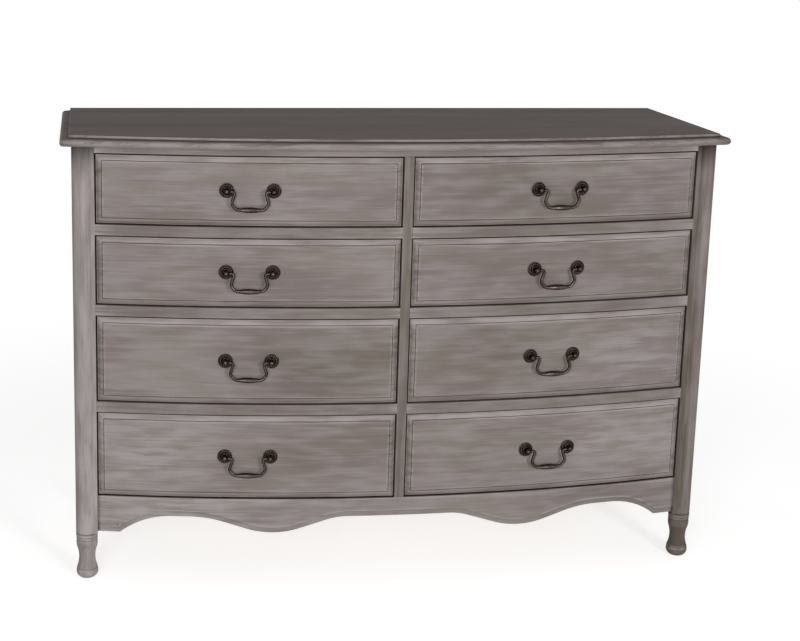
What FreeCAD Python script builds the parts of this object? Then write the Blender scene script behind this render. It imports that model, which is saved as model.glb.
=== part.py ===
import FreeCAD, Part
import math
import os
from FreeCAD import Placement, Rotation, Vector

# Bow-front dresser with eight drawers in two columns of four rows, millimetres.
# X runs to the right as one faces the drawers, Y to the back, Z up.
# The origin is under the middle of the whole piece, on the floor.

# Case
CASE_WIDTH = 1450.0           # across the outsides of the front columns
CASE_DEPTH = 470.0            # from the front columns' flat lands to the back of the case
BOW_RISE = 70.0               # how far the rails bow forward between the columns
RAIL_BASE = 200.0             # floor to the lower edge of the bottom drawers' openings
LOWER_ROW_HEIGHT = 197.0      # openings of the two lower rows
UPPER_ROW_HEIGHT = 156.0      # openings of the two upper rows
DIVIDER_HEIGHT = 24.0
TOP_RAIL_HEIGHT = 14.0
STILE_WIDTH = 21.6
RAIL_BOTTOM_HEIGHT = 28.0     # rail behind the apron that carries the lowest runners

# Top board
TOP_THICKNESS = 24.0
TOP_OVERHANG_FRONT = 22.0
TOP_OVERHANG_SIDE = 24.5
TOP_OVERHANG_BACK = 10.0
FIELD_INSET = 19.5            # from the round nose to the raised field of the upper face
FIELD_ROUND = 1.5
FIELD_RISE = 6.0              # the field stands this far above the ledge round it
LEDGE_FALL = 1.0              # the ledge falls this far towards the nose

# Posts and turned feet
COLUMN_RADIUS = 24.5
LAND_SETBACK = 4.5            # flat lands beside the round column stand behind its face
REAR_POST_WIDTH = 44.5
POST_START = 108.0            # floor to the lower end of the posts' straight part
PAD_INSET = 9.5               # the flat that stands on the floor, inside the column's radius
BUN_LOW_INSET = 1.9           # the bun's lower curve passes here
BUN_LOW_RISE = 7.0
BUN_RISE = 16.0               # floor to the widest part of the bun at the bottom of the foot
BUN_BULGE_INSET = 0.3         # halfway up the bun's upper curve
BUN_TOP = 21.5
BUN_TOP_INSET = 1.2
ANKLE_INSET = 6.1
ANKLE_RISE = 48.0
SHOULDER_RISE = 74.0
SHOULDER_INSET = 1.7
SHOULDER_BULGE_INSET = 0.5    # halfway between the shoulder and the collar
COLLAR_RISE = 91.0            # beads that part the foot from the column
COLLAR_INSET = 1.0
COLLAR_BEAD = 5.0
BEAD_INSET = 0.3
GROOVE_INSET = 2.2
GROOVE_HEIGHT = 0.9

# Sides and back
SIDE_RAIL_THICKNESS = 20.0
SIDE_RAIL_UPPER = 70.0
SIDE_ARCH_RISE = 37.0
SIDE_ARCH_FLAT = 24.0
PANEL_BASE = 8.0
PANEL_RAISE = 6.0
PANEL_BEVEL = 42.0
BACK_PANEL_THICKNESS = 6.0
BACK_RAIL_THICKNESS = 20.0
BACK_RAIL_HEIGHT = 60.0
BACK_MUNTIN_WIDTH = 50.0
BACK_RAIL_DROP = 50.0         # the lower back rail hangs this far below the openings

# Inside the case
RUNNER_HEIGHT = 20.0
RUNNER_WIDTH = 36.0
GUIDE_RISE = 25.0
CLEAT_HEIGHT = 24.5
BOTTOM_THICKNESS = 8.0

# Apron, measured inwards from the post along its lower edge
APRON_THICKNESS = 20.0
APRON_CENTRE_RISE = 157.0     # floor to the straight middle of the lower edge
APRON_CROWN_RISE = 156.0      # floor to the crown of each side arch
APRON_LOBE_CORNER = 110.0     # height where the two slopes of the lobe would meet
APRON_END_RISE = 114.5
APRON_END_FLAT = 50.0
APRON_OUTER_RUN = 52.0
APRON_CROWN_RUN = 142.0
APRON_RISE_RUN = 147.0
APRON_FALL_RUN = 144.0
APRON_OUTER_ROUND = 178.0
APRON_CROWN_ROUND = 267.0
APRON_LOBE_ROUND = 198.0
APRON_CENTRE_ROUND = 150.0
APRON_LIP_WIDTH = 12.0        # lowered band along the lower edge
APRON_LIP_DEPTH = 2.0

# Drawers
FRONT_GAP = 3.0               # shadow gap round each drawer front
FRONT_THICKNESS = 20.0
LIP_WIDTH = 2.0               # outer lip of the moulded margin
LIP_DEPTH = 4.5
MARGIN_WIDTH = 11.6           # lip and bevel together
BEVEL_TOP = 0.8
BEVEL_BULGE = 0.8
QUIRK_WIDTH = 1.3             # scribed line between the bevel and the field
FIELD_QUIRK_DEPTH = 2.2
SIDE_THICKNESS = 11.0
SIDE_DROP = 22.0              # drawer sides end this far below the top of the opening
RIDE_CLEARANCE = 0.3          # drawer sides above their runners
DRAWER_BACK_GAP = 14.0        # behind the closed drawer, to the back rails
DRAWER_BOTTOM_RISE = 12.0
DRAWER_BOTTOM_THICKNESS = 5.0

# Pulls, in their own axes: X along the front, Y into the wood, Z up from the pivot
PULL_RAISE = 3.0              # pivots above the middle of the drawer front
HOLE_SPACING = 101.6
ROSETTE_RADIUS = 16.5
EDGE_HEIGHT = 0.8             # upright edge of the rosette
BAND_WIDTH = 1.8              # rounded band along that edge
BAND_BULGE = 0.5
BAND_BULGE_HEIGHT = 1.8
BAND_HEIGHT = 2.0
DISH_INSET = 2.6              # low ring inside the band
DISH_HEIGHT = 1.4
CREST_INSET = 5.0             # raised ring between the dish and the neck
CREST_HEIGHT = 3.4
CREST_END_INSET = 7.4
CREST_END_HEIGHT = 1.9
FLARE_INSET = 8.2             # where the neck starts to rise
FLARE_WIDTH = 0.9
FLARE_HEIGHT = 3.6
NECK_RADIUS = 4.2
NECK_START = 6.0
KNOB_RADIUS = 6.5
PIVOT_OFFSET = 15.0           # pivot axis in front of the drawer's face
PIN_RADIUS = 2.0
PIN_CLEARANCE = 0.05
PIN_DEPTH = 5.0
PIN_END_GAP = 0.2
ROD_RADIUS = 3.5
ROD_CLEARANCE = 0.4
CURL_X = 32.0                 # where the rod turns down beside the knob
CURL_ROUND = 5.5
SHOULDER_X = 40.6
SHOULDER_DROP = 26.5
SHOULDER_ROUND = 10.0
GRIP_X = 29.5
GRIP_DROP = 40.0
GRIP_ROUND = 13.0
GRIP_START = 23.2             # the swelling begins this far from the middle
GRIP_OVERLAP = 0.5
GRIP_RADIUS = 6.0
SCREW_RADIUS = 2.0
SCREW_CLEARANCE = 0.1
SCREW_HEAD_RADIUS = 4.0
SCREW_HEAD_HEIGHT = 2.6
SCREW_ENGAGEMENT = 6.0
BORE_MOUTH = 0.5
HOLE_RADIUS = 2.6

# What follows from the sizes above
SECTOR = 16.0                 # degrees to each side, wider than the top board
REACH = 60.0                  # cutters run past the wood by this much
CUT_SPARE = 1.0               # and by this much where they follow the bow
open_half = CASE_WIDTH / 2 - 2 * COLUMN_RADIUS
bow_radius = (open_half ** 2 + BOW_RISE ** 2) / (2 * BOW_RISE)
depth = TOP_OVERHANG_FRONT + BOW_RISE + CASE_DEPTH + TOP_OVERHANG_BACK
land_y = -depth / 2 + TOP_OVERHANG_FRONT + BOW_RISE
case_back = land_y + CASE_DEPTH
bow_centre = Vector(0, land_y - BOW_RISE + bow_radius, 0)
block = 2 * COLUMN_RADIUS - LAND_SETBACK
rail_back = land_y + block
outer_land = CASE_WIDTH / 2 - LAND_SETBACK
column_x = CASE_WIDTH / 2 - COLUMN_RADIUS
column_y = land_y + COLUMN_RADIUS - LAND_SETBACK
rear_post_front = case_back - REAR_POST_WIDTH
rear_post_inner = outer_land - REAR_POST_WIDTH
side_inner = outer_land - SIDE_RAIL_THICKNESS
back_rail_back = case_back - BACK_PANEL_THICKNESS
back_rail_front = back_rail_back - BACK_RAIL_THICKNESS
stile_half = STILE_WIDTH / 2
nose_round = (TOP_THICKNESS - FIELD_RISE - LEDGE_FALL) / 2
Z_AXIS = Vector(0, 0, 1)

row_openings = {}
level = RAIL_BASE
row_heights = {4: LOWER_ROW_HEIGHT, 3: LOWER_ROW_HEIGHT, 2: UPPER_ROW_HEIGHT, 1: UPPER_ROW_HEIGHT}
for row, height in row_heights.items():
    row_openings[row] = (level, level + height)
    level = level + height + DIVIDER_HEIGHT
top_rail_base = level - DIVIDER_HEIGHT
case_top = top_rail_base + TOP_RAIL_HEIGHT


# Common shapes
def bow_point(x, setback, z=0.0):
    """A point on the bow, set back into the wood from the rails' face."""
    radius = bow_radius - setback
    return Vector(x, bow_centre.y - math.sqrt(radius ** 2 - x ** 2), z)


def line(start, end):
    return Part.LineSegment(start, end).toShape()


def arc(start, middle, end):
    return Part.Arc(start, middle, end).toShape()


def bow_arc(x0, x1, setback, z=0.0):
    ends = [bow_point(x, setback, z) for x in (x0, (x0 + x1) / 2, x1)]
    return arc(*ends)


def face_of(edges):
    return Part.Face(Part.Wire(edges))


def box(x0, x1, y0, y1, z0, z1):
    return Part.makeBox(x1 - x0, y1 - y0, z1 - z0, Vector(x0, y0, z0))


def mirrored(shape):
    return shape.mirror(Vector(0, 0, 0), Vector(1, 0, 0))


def both_sides(shape):
    return [shape, mirrored(shape)]


def bowed_board(x0, x1, z0, z1, setback, back_y):
    """Board with a bowed front edge and a straight back edge."""
    front = bow_arc(x0, x1, setback, z0)
    edges = [front, line(bow_point(x1, setback, z0), Vector(x1, back_y, z0)),
             line(Vector(x1, back_y, z0), Vector(x0, back_y, z0)),
             line(Vector(x0, back_y, z0), bow_point(x0, setback, z0))]
    return face_of(edges).extrude(Vector(0, 0, z1 - z0))


def bowed_shell(x0, x1, z0, z1, setback, thickness):
    """Board whose front and back faces both follow the bow."""
    inner = setback + thickness
    edges = [bow_arc(x0, x1, setback, z0), line(bow_point(x1, setback, z0), bow_point(x1, inner, z0)),
             bow_arc(x1, x0, inner, z0), line(bow_point(x0, inner, z0), bow_point(x0, setback, z0))]
    return face_of(edges).extrude(Vector(0, 0, z1 - z0))


def swept_round_bow(face):
    """Turn an upright face, drawn at the middle of the front, about the centre of the bow."""
    start = face.copy()
    start.rotate(bow_centre, Z_AXIS, -SECTOR)
    return start.revolve(bow_centre, Z_AXIS, 2 * SECTOR)


def rounded_path(corners):
    """Edges along corners (point, radius), each corner rounded by an arc of its radius."""
    edges = []
    here = corners[0][0]
    for (before, _), (corner, radius), (after, _) in zip(corners, corners[1:], corners[2:]):
        back = (before - corner).normalize()
        ahead = (after - corner).normalize()
        if radius > 0:
            half_turn = (math.pi - back.getAngle(ahead)) / 2
            reach = radius * math.tan(half_turn)
            bisector = (back + ahead).normalize()
            crown = corner + bisector * (radius / math.cos(half_turn) - radius)
            edges.append(line(here, corner + back * reach))
            edges.append(arc(corner + back * reach, crown, corner + ahead * reach))
            here = corner + ahead * reach
        else:
            edges.append(line(here, corner))
            here = corner
    edges.append(line(here, corners[-1][0]))
    return edges


# Top board: a bowed front edge and straight side edges with the same moulding
def edge_moulding(place):
    """Edges of the moulding from the top face down to the underside; place(inset, z)."""
    top = case_top + TOP_THICKNESS
    ledge = top - FIELD_RISE
    diagonal = FIELD_ROUND * (1 - math.sqrt(0.5))
    return [arc(place(FIELD_INSET + FIELD_ROUND, top), place(FIELD_INSET + diagonal, top - diagonal),
                place(FIELD_INSET, top - FIELD_ROUND)),
            line(place(FIELD_INSET, top - FIELD_ROUND), place(FIELD_INSET, ledge)),
            line(place(FIELD_INSET, ledge), place(nose_round, ledge - LEDGE_FALL)),
            arc(place(nose_round, ledge - LEDGE_FALL), place(0, case_top + nose_round),
                place(nose_round, case_top))]


def make_top_board():
    top = case_top + TOP_THICKNESS
    field = FIELD_INSET + FIELD_ROUND
    half = CASE_WIDTH / 2 + TOP_OVERHANG_SIDE

    def right(inset, z):
        return Vector(half - inset, 0, z)

    def left(inset, z):
        return Vector(inset - half, 0, z)

    def front(inset, z):
        return bow_point(0, inset - TOP_OVERHANG_FRONT, z)

    section = edge_moulding(right) + edge_moulding(left)
    section.append(line(left(field, top), right(field, top)))
    section.append(line(left(nose_round, case_top), right(nose_round, case_top)))
    across = Part.Face(Part.Wire(Part.__sortEdges__(section))).extrude(Vector(0, depth, 0))
    across.translate(Vector(0, -depth / 2, 0))
    far = depth + BOW_RISE
    section = edge_moulding(front)
    section.append(line(front(field, top), front(far, top)))
    section.append(line(front(far, top), front(far, case_top)))
    section.append(line(front(far, case_top), front(nose_round, case_top)))
    along = swept_round_bow(Part.Face(Part.Wire(Part.__sortEdges__(section))))
    return across.common(along)


# Posts
def turned_foot(radius):
    """Bun, cove and collar beads, turned about the post's own axis."""
    def at(inset, z):
        return Vector(radius - inset, 0, z)

    groove = GROOVE_INSET
    ankle_start = BUN_TOP + 2 * GROOVE_HEIGHT
    bead_top = COLLAR_RISE + GROOVE_HEIGHT + COLLAR_BEAD
    edges = [line(Vector(0, 0, 0), at(PAD_INSET, 0)),
             arc(at(PAD_INSET, 0), at(BUN_LOW_INSET, BUN_LOW_RISE), at(0, BUN_RISE)),
             arc(at(0, BUN_RISE), at(BUN_BULGE_INSET, (BUN_RISE + BUN_TOP) / 2), at(BUN_TOP_INSET, BUN_TOP)),
             line(at(BUN_TOP_INSET, BUN_TOP), at(groove, BUN_TOP + GROOVE_HEIGHT)),
             line(at(groove, BUN_TOP + GROOVE_HEIGHT), at(COLLAR_INSET, ankle_start)),
             arc(at(COLLAR_INSET, ankle_start), at(ANKLE_INSET, ANKLE_RISE),
                 at(SHOULDER_INSET, SHOULDER_RISE)),
             arc(at(SHOULDER_INSET, SHOULDER_RISE),
                 at(SHOULDER_BULGE_INSET, (SHOULDER_RISE + COLLAR_RISE) / 2), at(COLLAR_INSET, COLLAR_RISE)),
             line(at(COLLAR_INSET, COLLAR_RISE), at(groove, COLLAR_RISE + GROOVE_HEIGHT)),
             arc(at(groove, COLLAR_RISE + GROOVE_HEIGHT), at(BEAD_INSET, bead_top - COLLAR_BEAD / 2),
                 at(groove, bead_top)),
             line(at(groove, bead_top), at(groove, bead_top + GROOVE_HEIGHT)),
             line(at(groove, bead_top + GROOVE_HEIGHT), at(0, bead_top + 3 * GROOVE_HEIGHT)),
             line(at(0, bead_top + 3 * GROOVE_HEIGHT), at(0, POST_START)),
             line(at(0, POST_START), Vector(0, 0, POST_START)),
             line(Vector(0, 0, POST_START), Vector(0, 0, 0))]
    return face_of(edges).revolve(Vector(0, 0, 0), Z_AXIS, 360)


def make_front_post():
    """Round column with a flat land on its inner and its rear side, on a turned foot."""
    height = case_top - POST_START
    land = math.sqrt(COLUMN_RADIUS ** 2 - (COLUMN_RADIUS - LAND_SETBACK) ** 2)
    corner = COLUMN_RADIUS * math.sqrt(0.5)
    inner = column_x - COLUMN_RADIUS
    points = [Vector(inner, land_y, POST_START), Vector(column_x - land, land_y, POST_START),
              Vector(column_x + corner, column_y - corner, POST_START),
              Vector(outer_land, column_y + land, POST_START),
              Vector(outer_land, rail_back, POST_START), Vector(inner, rail_back, POST_START)]
    section = face_of([line(points[0], points[1]), arc(points[1], points[2], points[3]),
                       line(points[3], points[4]), line(points[4], points[5]),
                       line(points[5], points[0])])
    foot = turned_foot(COLUMN_RADIUS)
    foot.translate(Vector(column_x, column_y, 0))
    return section.extrude(Vector(0, 0, height)).fuse(foot).removeSplitter()


def make_rear_post():
    leg = box(rear_post_inner, outer_land, rear_post_front, case_back, POST_START, case_top)
    foot = turned_foot(REAR_POST_WIDTH / 2)
    foot.translate(Vector((rear_post_inner + outer_land) / 2, (rear_post_front + case_back) / 2, 0))
    return leg.fuse(foot).removeSplitter()


# Sides and back
def make_side_rails():
    upper = box(side_inner, outer_land, rail_back, rear_post_front, case_top - SIDE_RAIL_UPPER, case_top)
    middle = (rail_back + rear_post_front) / 2
    starts = rail_back + SIDE_ARCH_FLAT
    ends = rear_post_front - SIDE_ARCH_FLAT

    def at(y, z):
        return Vector(side_inner, y, z)

    outline = [line(at(rail_back, POST_START), at(starts, POST_START)),
               arc(at(starts, POST_START), at(middle, POST_START + SIDE_ARCH_RISE), at(ends, POST_START)),
               line(at(ends, POST_START), at(rear_post_front, POST_START)),
               line(at(rear_post_front, POST_START), at(rear_post_front, RAIL_BASE)),
               line(at(rear_post_front, RAIL_BASE), at(rail_back, RAIL_BASE)),
               line(at(rail_back, RAIL_BASE), at(rail_back, POST_START))]
    lower = face_of(outline).extrude(Vector(SIDE_RAIL_THICKNESS, 0, 0))
    return both_sides(upper) + both_sides(lower)


def make_side_panel():
    """Board with a raised field and a wide bevel, between the posts and the side rails."""
    low = RAIL_BASE
    high = case_top - SIDE_RAIL_UPPER
    face_x = side_inner + PANEL_BASE

    def rectangle(x, inset):
        return Part.makePolygon([Vector(x, rail_back + inset, low + inset),
                                 Vector(x, rear_post_front - inset, low + inset),
                                 Vector(x, rear_post_front - inset, high - inset),
                                 Vector(x, rail_back + inset, high - inset),
                                 Vector(x, rail_back + inset, low + inset)])

    base = box(side_inner, face_x, rail_back, rear_post_front, low, high)
    field = Part.makeLoft([rectangle(face_x, 0), rectangle(face_x + PANEL_RAISE, PANEL_BEVEL)], True, True)
    return base.fuse(field).removeSplitter()


def make_back_rails():
    low = RAIL_BASE - BACK_RAIL_DROP
    upper = box(-rear_post_inner, rear_post_inner, back_rail_front, back_rail_back,
                case_top - BACK_RAIL_HEIGHT, case_top)
    lower = box(-rear_post_inner, rear_post_inner, back_rail_front, back_rail_back, low, RAIL_BASE)
    muntin = box(-BACK_MUNTIN_WIDTH / 2, BACK_MUNTIN_WIDTH / 2, back_rail_front, back_rail_back,
                 RAIL_BASE, case_top - BACK_RAIL_HEIGHT)
    return [upper, lower, muntin]


def make_back_panel():
    return box(-rear_post_inner, rear_post_inner, back_rail_back, case_back,
               RAIL_BASE - BACK_RAIL_DROP, case_top)


# Front frame
def make_divider_rails():
    rails = []
    for row in (4, 3, 2):
        base = row_openings[row][1]
        rail = bowed_board(stile_half, open_half, base, base + DIVIDER_HEIGHT, 0, rail_back)
        rails.extend(both_sides(rail))
    return rails


def make_top_rail():
    return bowed_board(-open_half, open_half, top_rail_base, case_top, 0, rail_back)


def make_centre_stile():
    return bowed_board(-stile_half, stile_half, RAIL_BASE, top_rail_base, 0, rail_back)


def make_bottom_rail():
    return bowed_board(-open_half, open_half, RAIL_BASE - RAIL_BOTTOM_HEIGHT, RAIL_BASE,
                       APRON_THICKNESS, rail_back)


def apron_edge():
    """Corners of the lower edge on the right half, from the post to the middle, with their rounds."""
    x = open_half - APRON_END_FLAT
    corners = [(open_half + REACH, APRON_END_RISE, 0), (x, APRON_END_RISE, 0)]
    x = x - APRON_OUTER_RUN
    corners.append((x, APRON_CROWN_RISE, APRON_OUTER_ROUND))
    x = x - APRON_CROWN_RUN
    corners.append((x, APRON_CROWN_RISE, APRON_CROWN_ROUND))
    x = x - APRON_RISE_RUN
    corners.append((x, APRON_LOBE_CORNER, APRON_LOBE_ROUND))
    x = x - APRON_FALL_RUN
    corners.append((x, APRON_CENTRE_RISE, APRON_CENTRE_ROUND))
    return corners


def apron_template():
    """Upright face that holds the apron's outline, wider and taller than the apron itself."""
    right = apron_edge()
    left = [(-x, z, round_) for x, z, round_ in reversed(right)]
    head = RAIL_BASE + REACH
    points = [(Vector(x, 0, z), radius) for x, z, radius in right + left]
    edges = rounded_path(points)
    start, end = points[0][0], points[-1][0]
    edges.append(line(end, Vector(end.x, 0, head)))
    edges.append(line(Vector(end.x, 0, head), Vector(start.x, 0, head)))
    edges.append(line(Vector(start.x, 0, head), start))
    return Part.Wire(edges)


def make_apron():
    outline = apron_template()
    run = Vector(0, land_y - REACH - BOW_RISE, 0)
    length = Vector(0, BOW_RISE + 3 * REACH, 0)
    whole = Part.Face(outline).extrude(length)
    inner = Part.Face(outline.makeOffset2D(-APRON_LIP_WIDTH)).extrude(length)
    whole.translate(run)
    inner.translate(run)
    low = APRON_LOBE_CORNER - REACH
    board = bowed_shell(-open_half, open_half, low, RAIL_BASE, 0, APRON_THICKNESS).common(whole)
    front = bowed_shell(-open_half - CUT_SPARE, open_half + CUT_SPARE, low, RAIL_BASE + CUT_SPARE,
                        -APRON_LIP_DEPTH, 2 * APRON_LIP_DEPTH)
    return board.cut(front.cut(inner))


# Inside the case
def make_centre_partition():
    return box(-stile_half, stile_half, rail_back, back_rail_front, RAIL_BASE - RUNNER_HEIGHT, case_top)


def make_drawer_runners():
    runners = []
    for base, _ in row_openings.values():
        for inner in (stile_half, open_half - RUNNER_WIDTH):
            runner = box(inner, inner + RUNNER_WIDTH, rail_back, back_rail_front, base - RUNNER_HEIGHT, base)
            runners.extend(both_sides(runner))
    return runners


def make_drawer_guides():
    guides = []
    for base, _ in row_openings.values():
        guide = box(open_half, side_inner, rail_back, rear_post_front, base - RUNNER_HEIGHT,
                    base + GUIDE_RISE)
        guides.extend(both_sides(guide))
    return guides


def make_top_cleats():
    low = case_top - CLEAT_HEIGHT
    outer = box(open_half, side_inner, rail_back, rear_post_front, low, case_top)
    inner = box(stile_half, stile_half + CLEAT_HEIGHT, rail_back, back_rail_front, low, case_top)
    return both_sides(outer) + both_sides(inner)


def make_case_bottom():
    high = RAIL_BASE - RUNNER_HEIGHT
    low = high - BOTTOM_THICKNESS
    wide = box(-side_inner, side_inner, rail_back, rear_post_front, low, high)
    rear = box(-rear_post_inner, rear_post_inner, rear_post_front, back_rail_front, low, high)
    return wide.fuse(rear).removeSplitter()


# Drawers, drawn for the right column
drawer_near = stile_half + FRONT_GAP
drawer_far = open_half - FRONT_GAP
drawer_back = back_rail_front - DRAWER_BACK_GAP
pull_x = (drawer_near + drawer_far) / 2


def margin_outline(place, long_edge, low, high, field, back):
    """Outline across a drawer front: lip, bevel, step and field, the same on both margins."""
    middle = (LIP_WIDTH + MARGIN_WIDTH) / 2
    bulge = (LIP_DEPTH + BEVEL_TOP) / 2 - BEVEL_BULGE
    edges = []
    for end, way in ((low, 1), (high, -1)):
        corner = place(LIP_DEPTH, end + way * LIP_WIDTH)
        bevel_end = place(BEVEL_TOP, end + way * MARGIN_WIDTH)
        edges.append(line(place(back, end), place(LIP_DEPTH, end)))
        edges.append(line(place(LIP_DEPTH, end), corner))
        edges.append(arc(corner, place(bulge, end + way * middle), bevel_end))
        edges.append(line(bevel_end, place(field, end + way * MARGIN_WIDTH)))
    edges.append(long_edge(field, low + MARGIN_WIDTH, high - MARGIN_WIDTH))
    edges.append(long_edge(back, low, high))
    return Part.Face(Part.Wire(Part.__sortEdges__(edges)))


def quirk_frame(low, high):
    """Thin scribed line round the raised field."""
    def slab(inset):
        return box(drawer_near + inset, drawer_far - inset, land_y - BOW_RISE - REACH, land_y + REACH,
                   low + inset, high - inset)

    frame = slab(MARGIN_WIDTH).cut(slab(MARGIN_WIDTH + QUIRK_WIDTH))
    skin = bowed_shell(drawer_near, drawer_far, low, high, -FIELD_QUIRK_DEPTH, 2 * FIELD_QUIRK_DEPTH)
    return frame.common(skin)


def pull_holes(low, high):
    holes = []
    for x in (-HOLE_SPACING / 2, HOLE_SPACING / 2):
        start = Vector(x, -REACH / 2, 0)
        holes.append(Part.makeCylinder(HOLE_RADIUS, REACH + FRONT_THICKNESS, start, Vector(0, 1, 0)))
    return [on_front(hole, low, high) for hole in holes]


def make_drawer_front(base, head):
    low = base + FRONT_GAP
    high = head - FRONT_GAP

    def upright(setback, z):
        return bow_point(0, setback, z)

    def upright_edge(setback, z0, z1):
        return line(upright(setback, z0), upright(setback, z1))

    def plan(setback, x):
        return bow_point(x, setback, low)

    def plan_edge(setback, x0, x1):
        return bow_arc(x0, x1, setback, low)

    section = margin_outline(upright, upright_edge, low, high, 0, FRONT_THICKNESS)
    along = swept_round_bow(section)
    spare = LIP_DEPTH
    ends = margin_outline(plan, plan_edge, drawer_near, drawer_far, -spare, FRONT_THICKNESS + spare)
    board = along.common(ends.extrude(Vector(0, 0, high - low)))
    return board.cut([quirk_frame(low, high)] + pull_holes(low, high))


def make_drawer_box(base, head):
    low = base + RIDE_CLEARANCE
    high = head - SIDE_DROP
    near = drawer_near + SIDE_THICKNESS
    far = drawer_far - SIDE_THICKNESS
    shelf = low + DRAWER_BOTTOM_RISE + DRAWER_BOTTOM_THICKNESS
    return [bowed_board(drawer_near, near, low, high, FRONT_THICKNESS, drawer_back),
            bowed_board(far, drawer_far, low, high, FRONT_THICKNESS, drawer_back),
            box(near, far, drawer_back - SIDE_THICKNESS, drawer_back, shelf, high)]


def make_drawer_bottom(base):
    low = base + RIDE_CLEARANCE + DRAWER_BOTTOM_RISE
    return bowed_board(drawer_near + SIDE_THICKNESS, drawer_far - SIDE_THICKNESS, low,
                       low + DRAWER_BOTTOM_THICKNESS, FRONT_THICKNESS, drawer_back)


# Pulls
def on_front(shape, low, high):
    """Move a shape from the pull's own axes to its place on a drawer front."""
    turn = math.degrees(math.asin(pull_x / bow_radius))
    origin = bow_point(pull_x, 0, (low + high) / 2 + PULL_RAISE)
    placed = shape.copy()
    placed.Placement = Placement(origin, Rotation(Z_AXIS, turn)).multiply(placed.Placement)
    return placed


def make_pull_post():
    """Rosette, neck and pierced knob, turned about the screw's axis."""
    def at(radius, out):
        return Vector(radius, -out, 0)

    seat = -(HOLE_SPACING / 2 - ROSETTE_RADIUS) ** 2 / (2 * bow_radius)
    rim = ROSETTE_RADIUS
    band_end = at(rim - BAND_WIDTH, BAND_HEIGHT)
    dish = at(rim - DISH_INSET, DISH_HEIGHT)
    crest = at(rim - CREST_INSET, CREST_HEIGHT)
    crest_end = at(rim - CREST_END_INSET, CREST_END_HEIGHT)
    flare = at(rim - FLARE_INSET, CREST_END_HEIGHT)
    knob_start = PIVOT_OFFSET - math.sqrt(KNOB_RADIUS ** 2 - NECK_RADIUS ** 2)
    edges = [line(at(0, seat), at(rim, seat)), line(at(rim, seat), at(rim, EDGE_HEIGHT)),
             arc(at(rim, EDGE_HEIGHT), at(rim - BAND_BULGE, BAND_BULGE_HEIGHT), band_end),
             line(band_end, dish), arc(dish, crest, crest_end), line(crest_end, flare),
             arc(flare, at(NECK_RADIUS + FLARE_WIDTH, FLARE_HEIGHT), at(NECK_RADIUS, NECK_START)),
             line(at(NECK_RADIUS, NECK_START), at(NECK_RADIUS, knob_start)),
             arc(at(NECK_RADIUS, knob_start), at(KNOB_RADIUS, PIVOT_OFFSET),
                 at(0, PIVOT_OFFSET + KNOB_RADIUS)),
             line(at(0, PIVOT_OFFSET + KNOB_RADIUS), at(0, seat))]
    post = face_of(edges).revolve(Vector(0, 0, 0), Vector(0, 1, 0), 360)
    bore = Part.makeCylinder(SCREW_RADIUS + SCREW_CLEARANCE, SCREW_ENGAGEMENT + SCREW_CLEARANCE,
                             Vector(0, 0, 0), Vector(0, -1, 0))
    mouth = Part.makeCylinder(SCREW_RADIUS + SCREW_CLEARANCE, 2 * BORE_MOUTH, Vector(0, BORE_MOUTH, 0),
                              Vector(0, -1, 0))
    pivot = Part.makeCylinder(PIN_RADIUS + PIN_CLEARANCE, PIN_DEPTH + KNOB_RADIUS,
                              Vector(-2 * KNOB_RADIUS, -PIVOT_OFFSET, 0), Vector(1, 0, 0))
    return post.cut([bore.fuse(mouth), pivot])


def make_pull_mounts(low, high):
    """Two posts with their screws, which pass through the drawer front from inside."""
    post = make_pull_post()
    half = HOLE_SPACING / 2
    head_seat = FRONT_THICKNESS + (half + SCREW_HEAD_RADIUS) ** 2 / (2 * (bow_radius - FRONT_THICKNESS))
    shank = Part.makeCylinder(SCREW_RADIUS, head_seat + SCREW_ENGAGEMENT,
                              Vector(0, -SCREW_ENGAGEMENT, 0), Vector(0, 1, 0))
    head = Part.makeCylinder(SCREW_HEAD_RADIUS, SCREW_HEAD_HEIGHT, Vector(0, head_seat, 0), Vector(0, 1, 0))
    screw = shank.fuse(head)
    pieces = []
    for shape in (post, screw):
        right = shape.translated(Vector(half, 0, 0))
        pieces.append(on_front(right, low, high))
        pieces.append(on_front(mirrored(right), low, high))
    return pieces


def make_pull_bail(low, high):
    """Swan-neck bail: pins in the knobs, curled shoulders and a swelling grip."""
    knob_face = HOLE_SPACING / 2 - KNOB_RADIUS
    rod_end = knob_face - ROD_CLEARANCE

    def at(x, drop):
        return Vector(x, -PIVOT_OFFSET, -drop)

    path = rounded_path([(at(rod_end, 0), 0), (at(CURL_X, 0), CURL_ROUND),
                         (at(SHOULDER_X, SHOULDER_DROP), SHOULDER_ROUND),
                         (at(GRIP_X, GRIP_DROP), GRIP_ROUND),
                         (at(GRIP_START - 2 * GRIP_OVERLAP, GRIP_DROP), 0)])
    section = Part.Wire(Part.makeCircle(ROD_RADIUS, at(rod_end, 0), Vector(1, 0, 0)))
    arm = Part.Wire(path).makePipeShell([section], True, False)
    pin_length = PIN_DEPTH + ROD_CLEARANCE - PIN_END_GAP
    pin = Part.makeCylinder(PIN_RADIUS, pin_length, at(rod_end, 0), Vector(1, 0, 0))
    arm = arm.fuse(pin)
    end = GRIP_START - GRIP_OVERLAP
    profile = [line(at(-end, GRIP_DROP), at(-end, GRIP_DROP + ROD_RADIUS)),
               arc(at(-end, GRIP_DROP + ROD_RADIUS), at(0, GRIP_DROP + GRIP_RADIUS),
                   at(end, GRIP_DROP + ROD_RADIUS)),
               line(at(end, GRIP_DROP + ROD_RADIUS), at(end, GRIP_DROP)),
               line(at(end, GRIP_DROP), at(-end, GRIP_DROP))]
    grip = face_of(profile).revolve(at(0, GRIP_DROP), Vector(1, 0, 0), 360)
    bail = grip.fuse([arm, mirrored(arm)])
    return on_front(bail, low, high)


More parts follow.
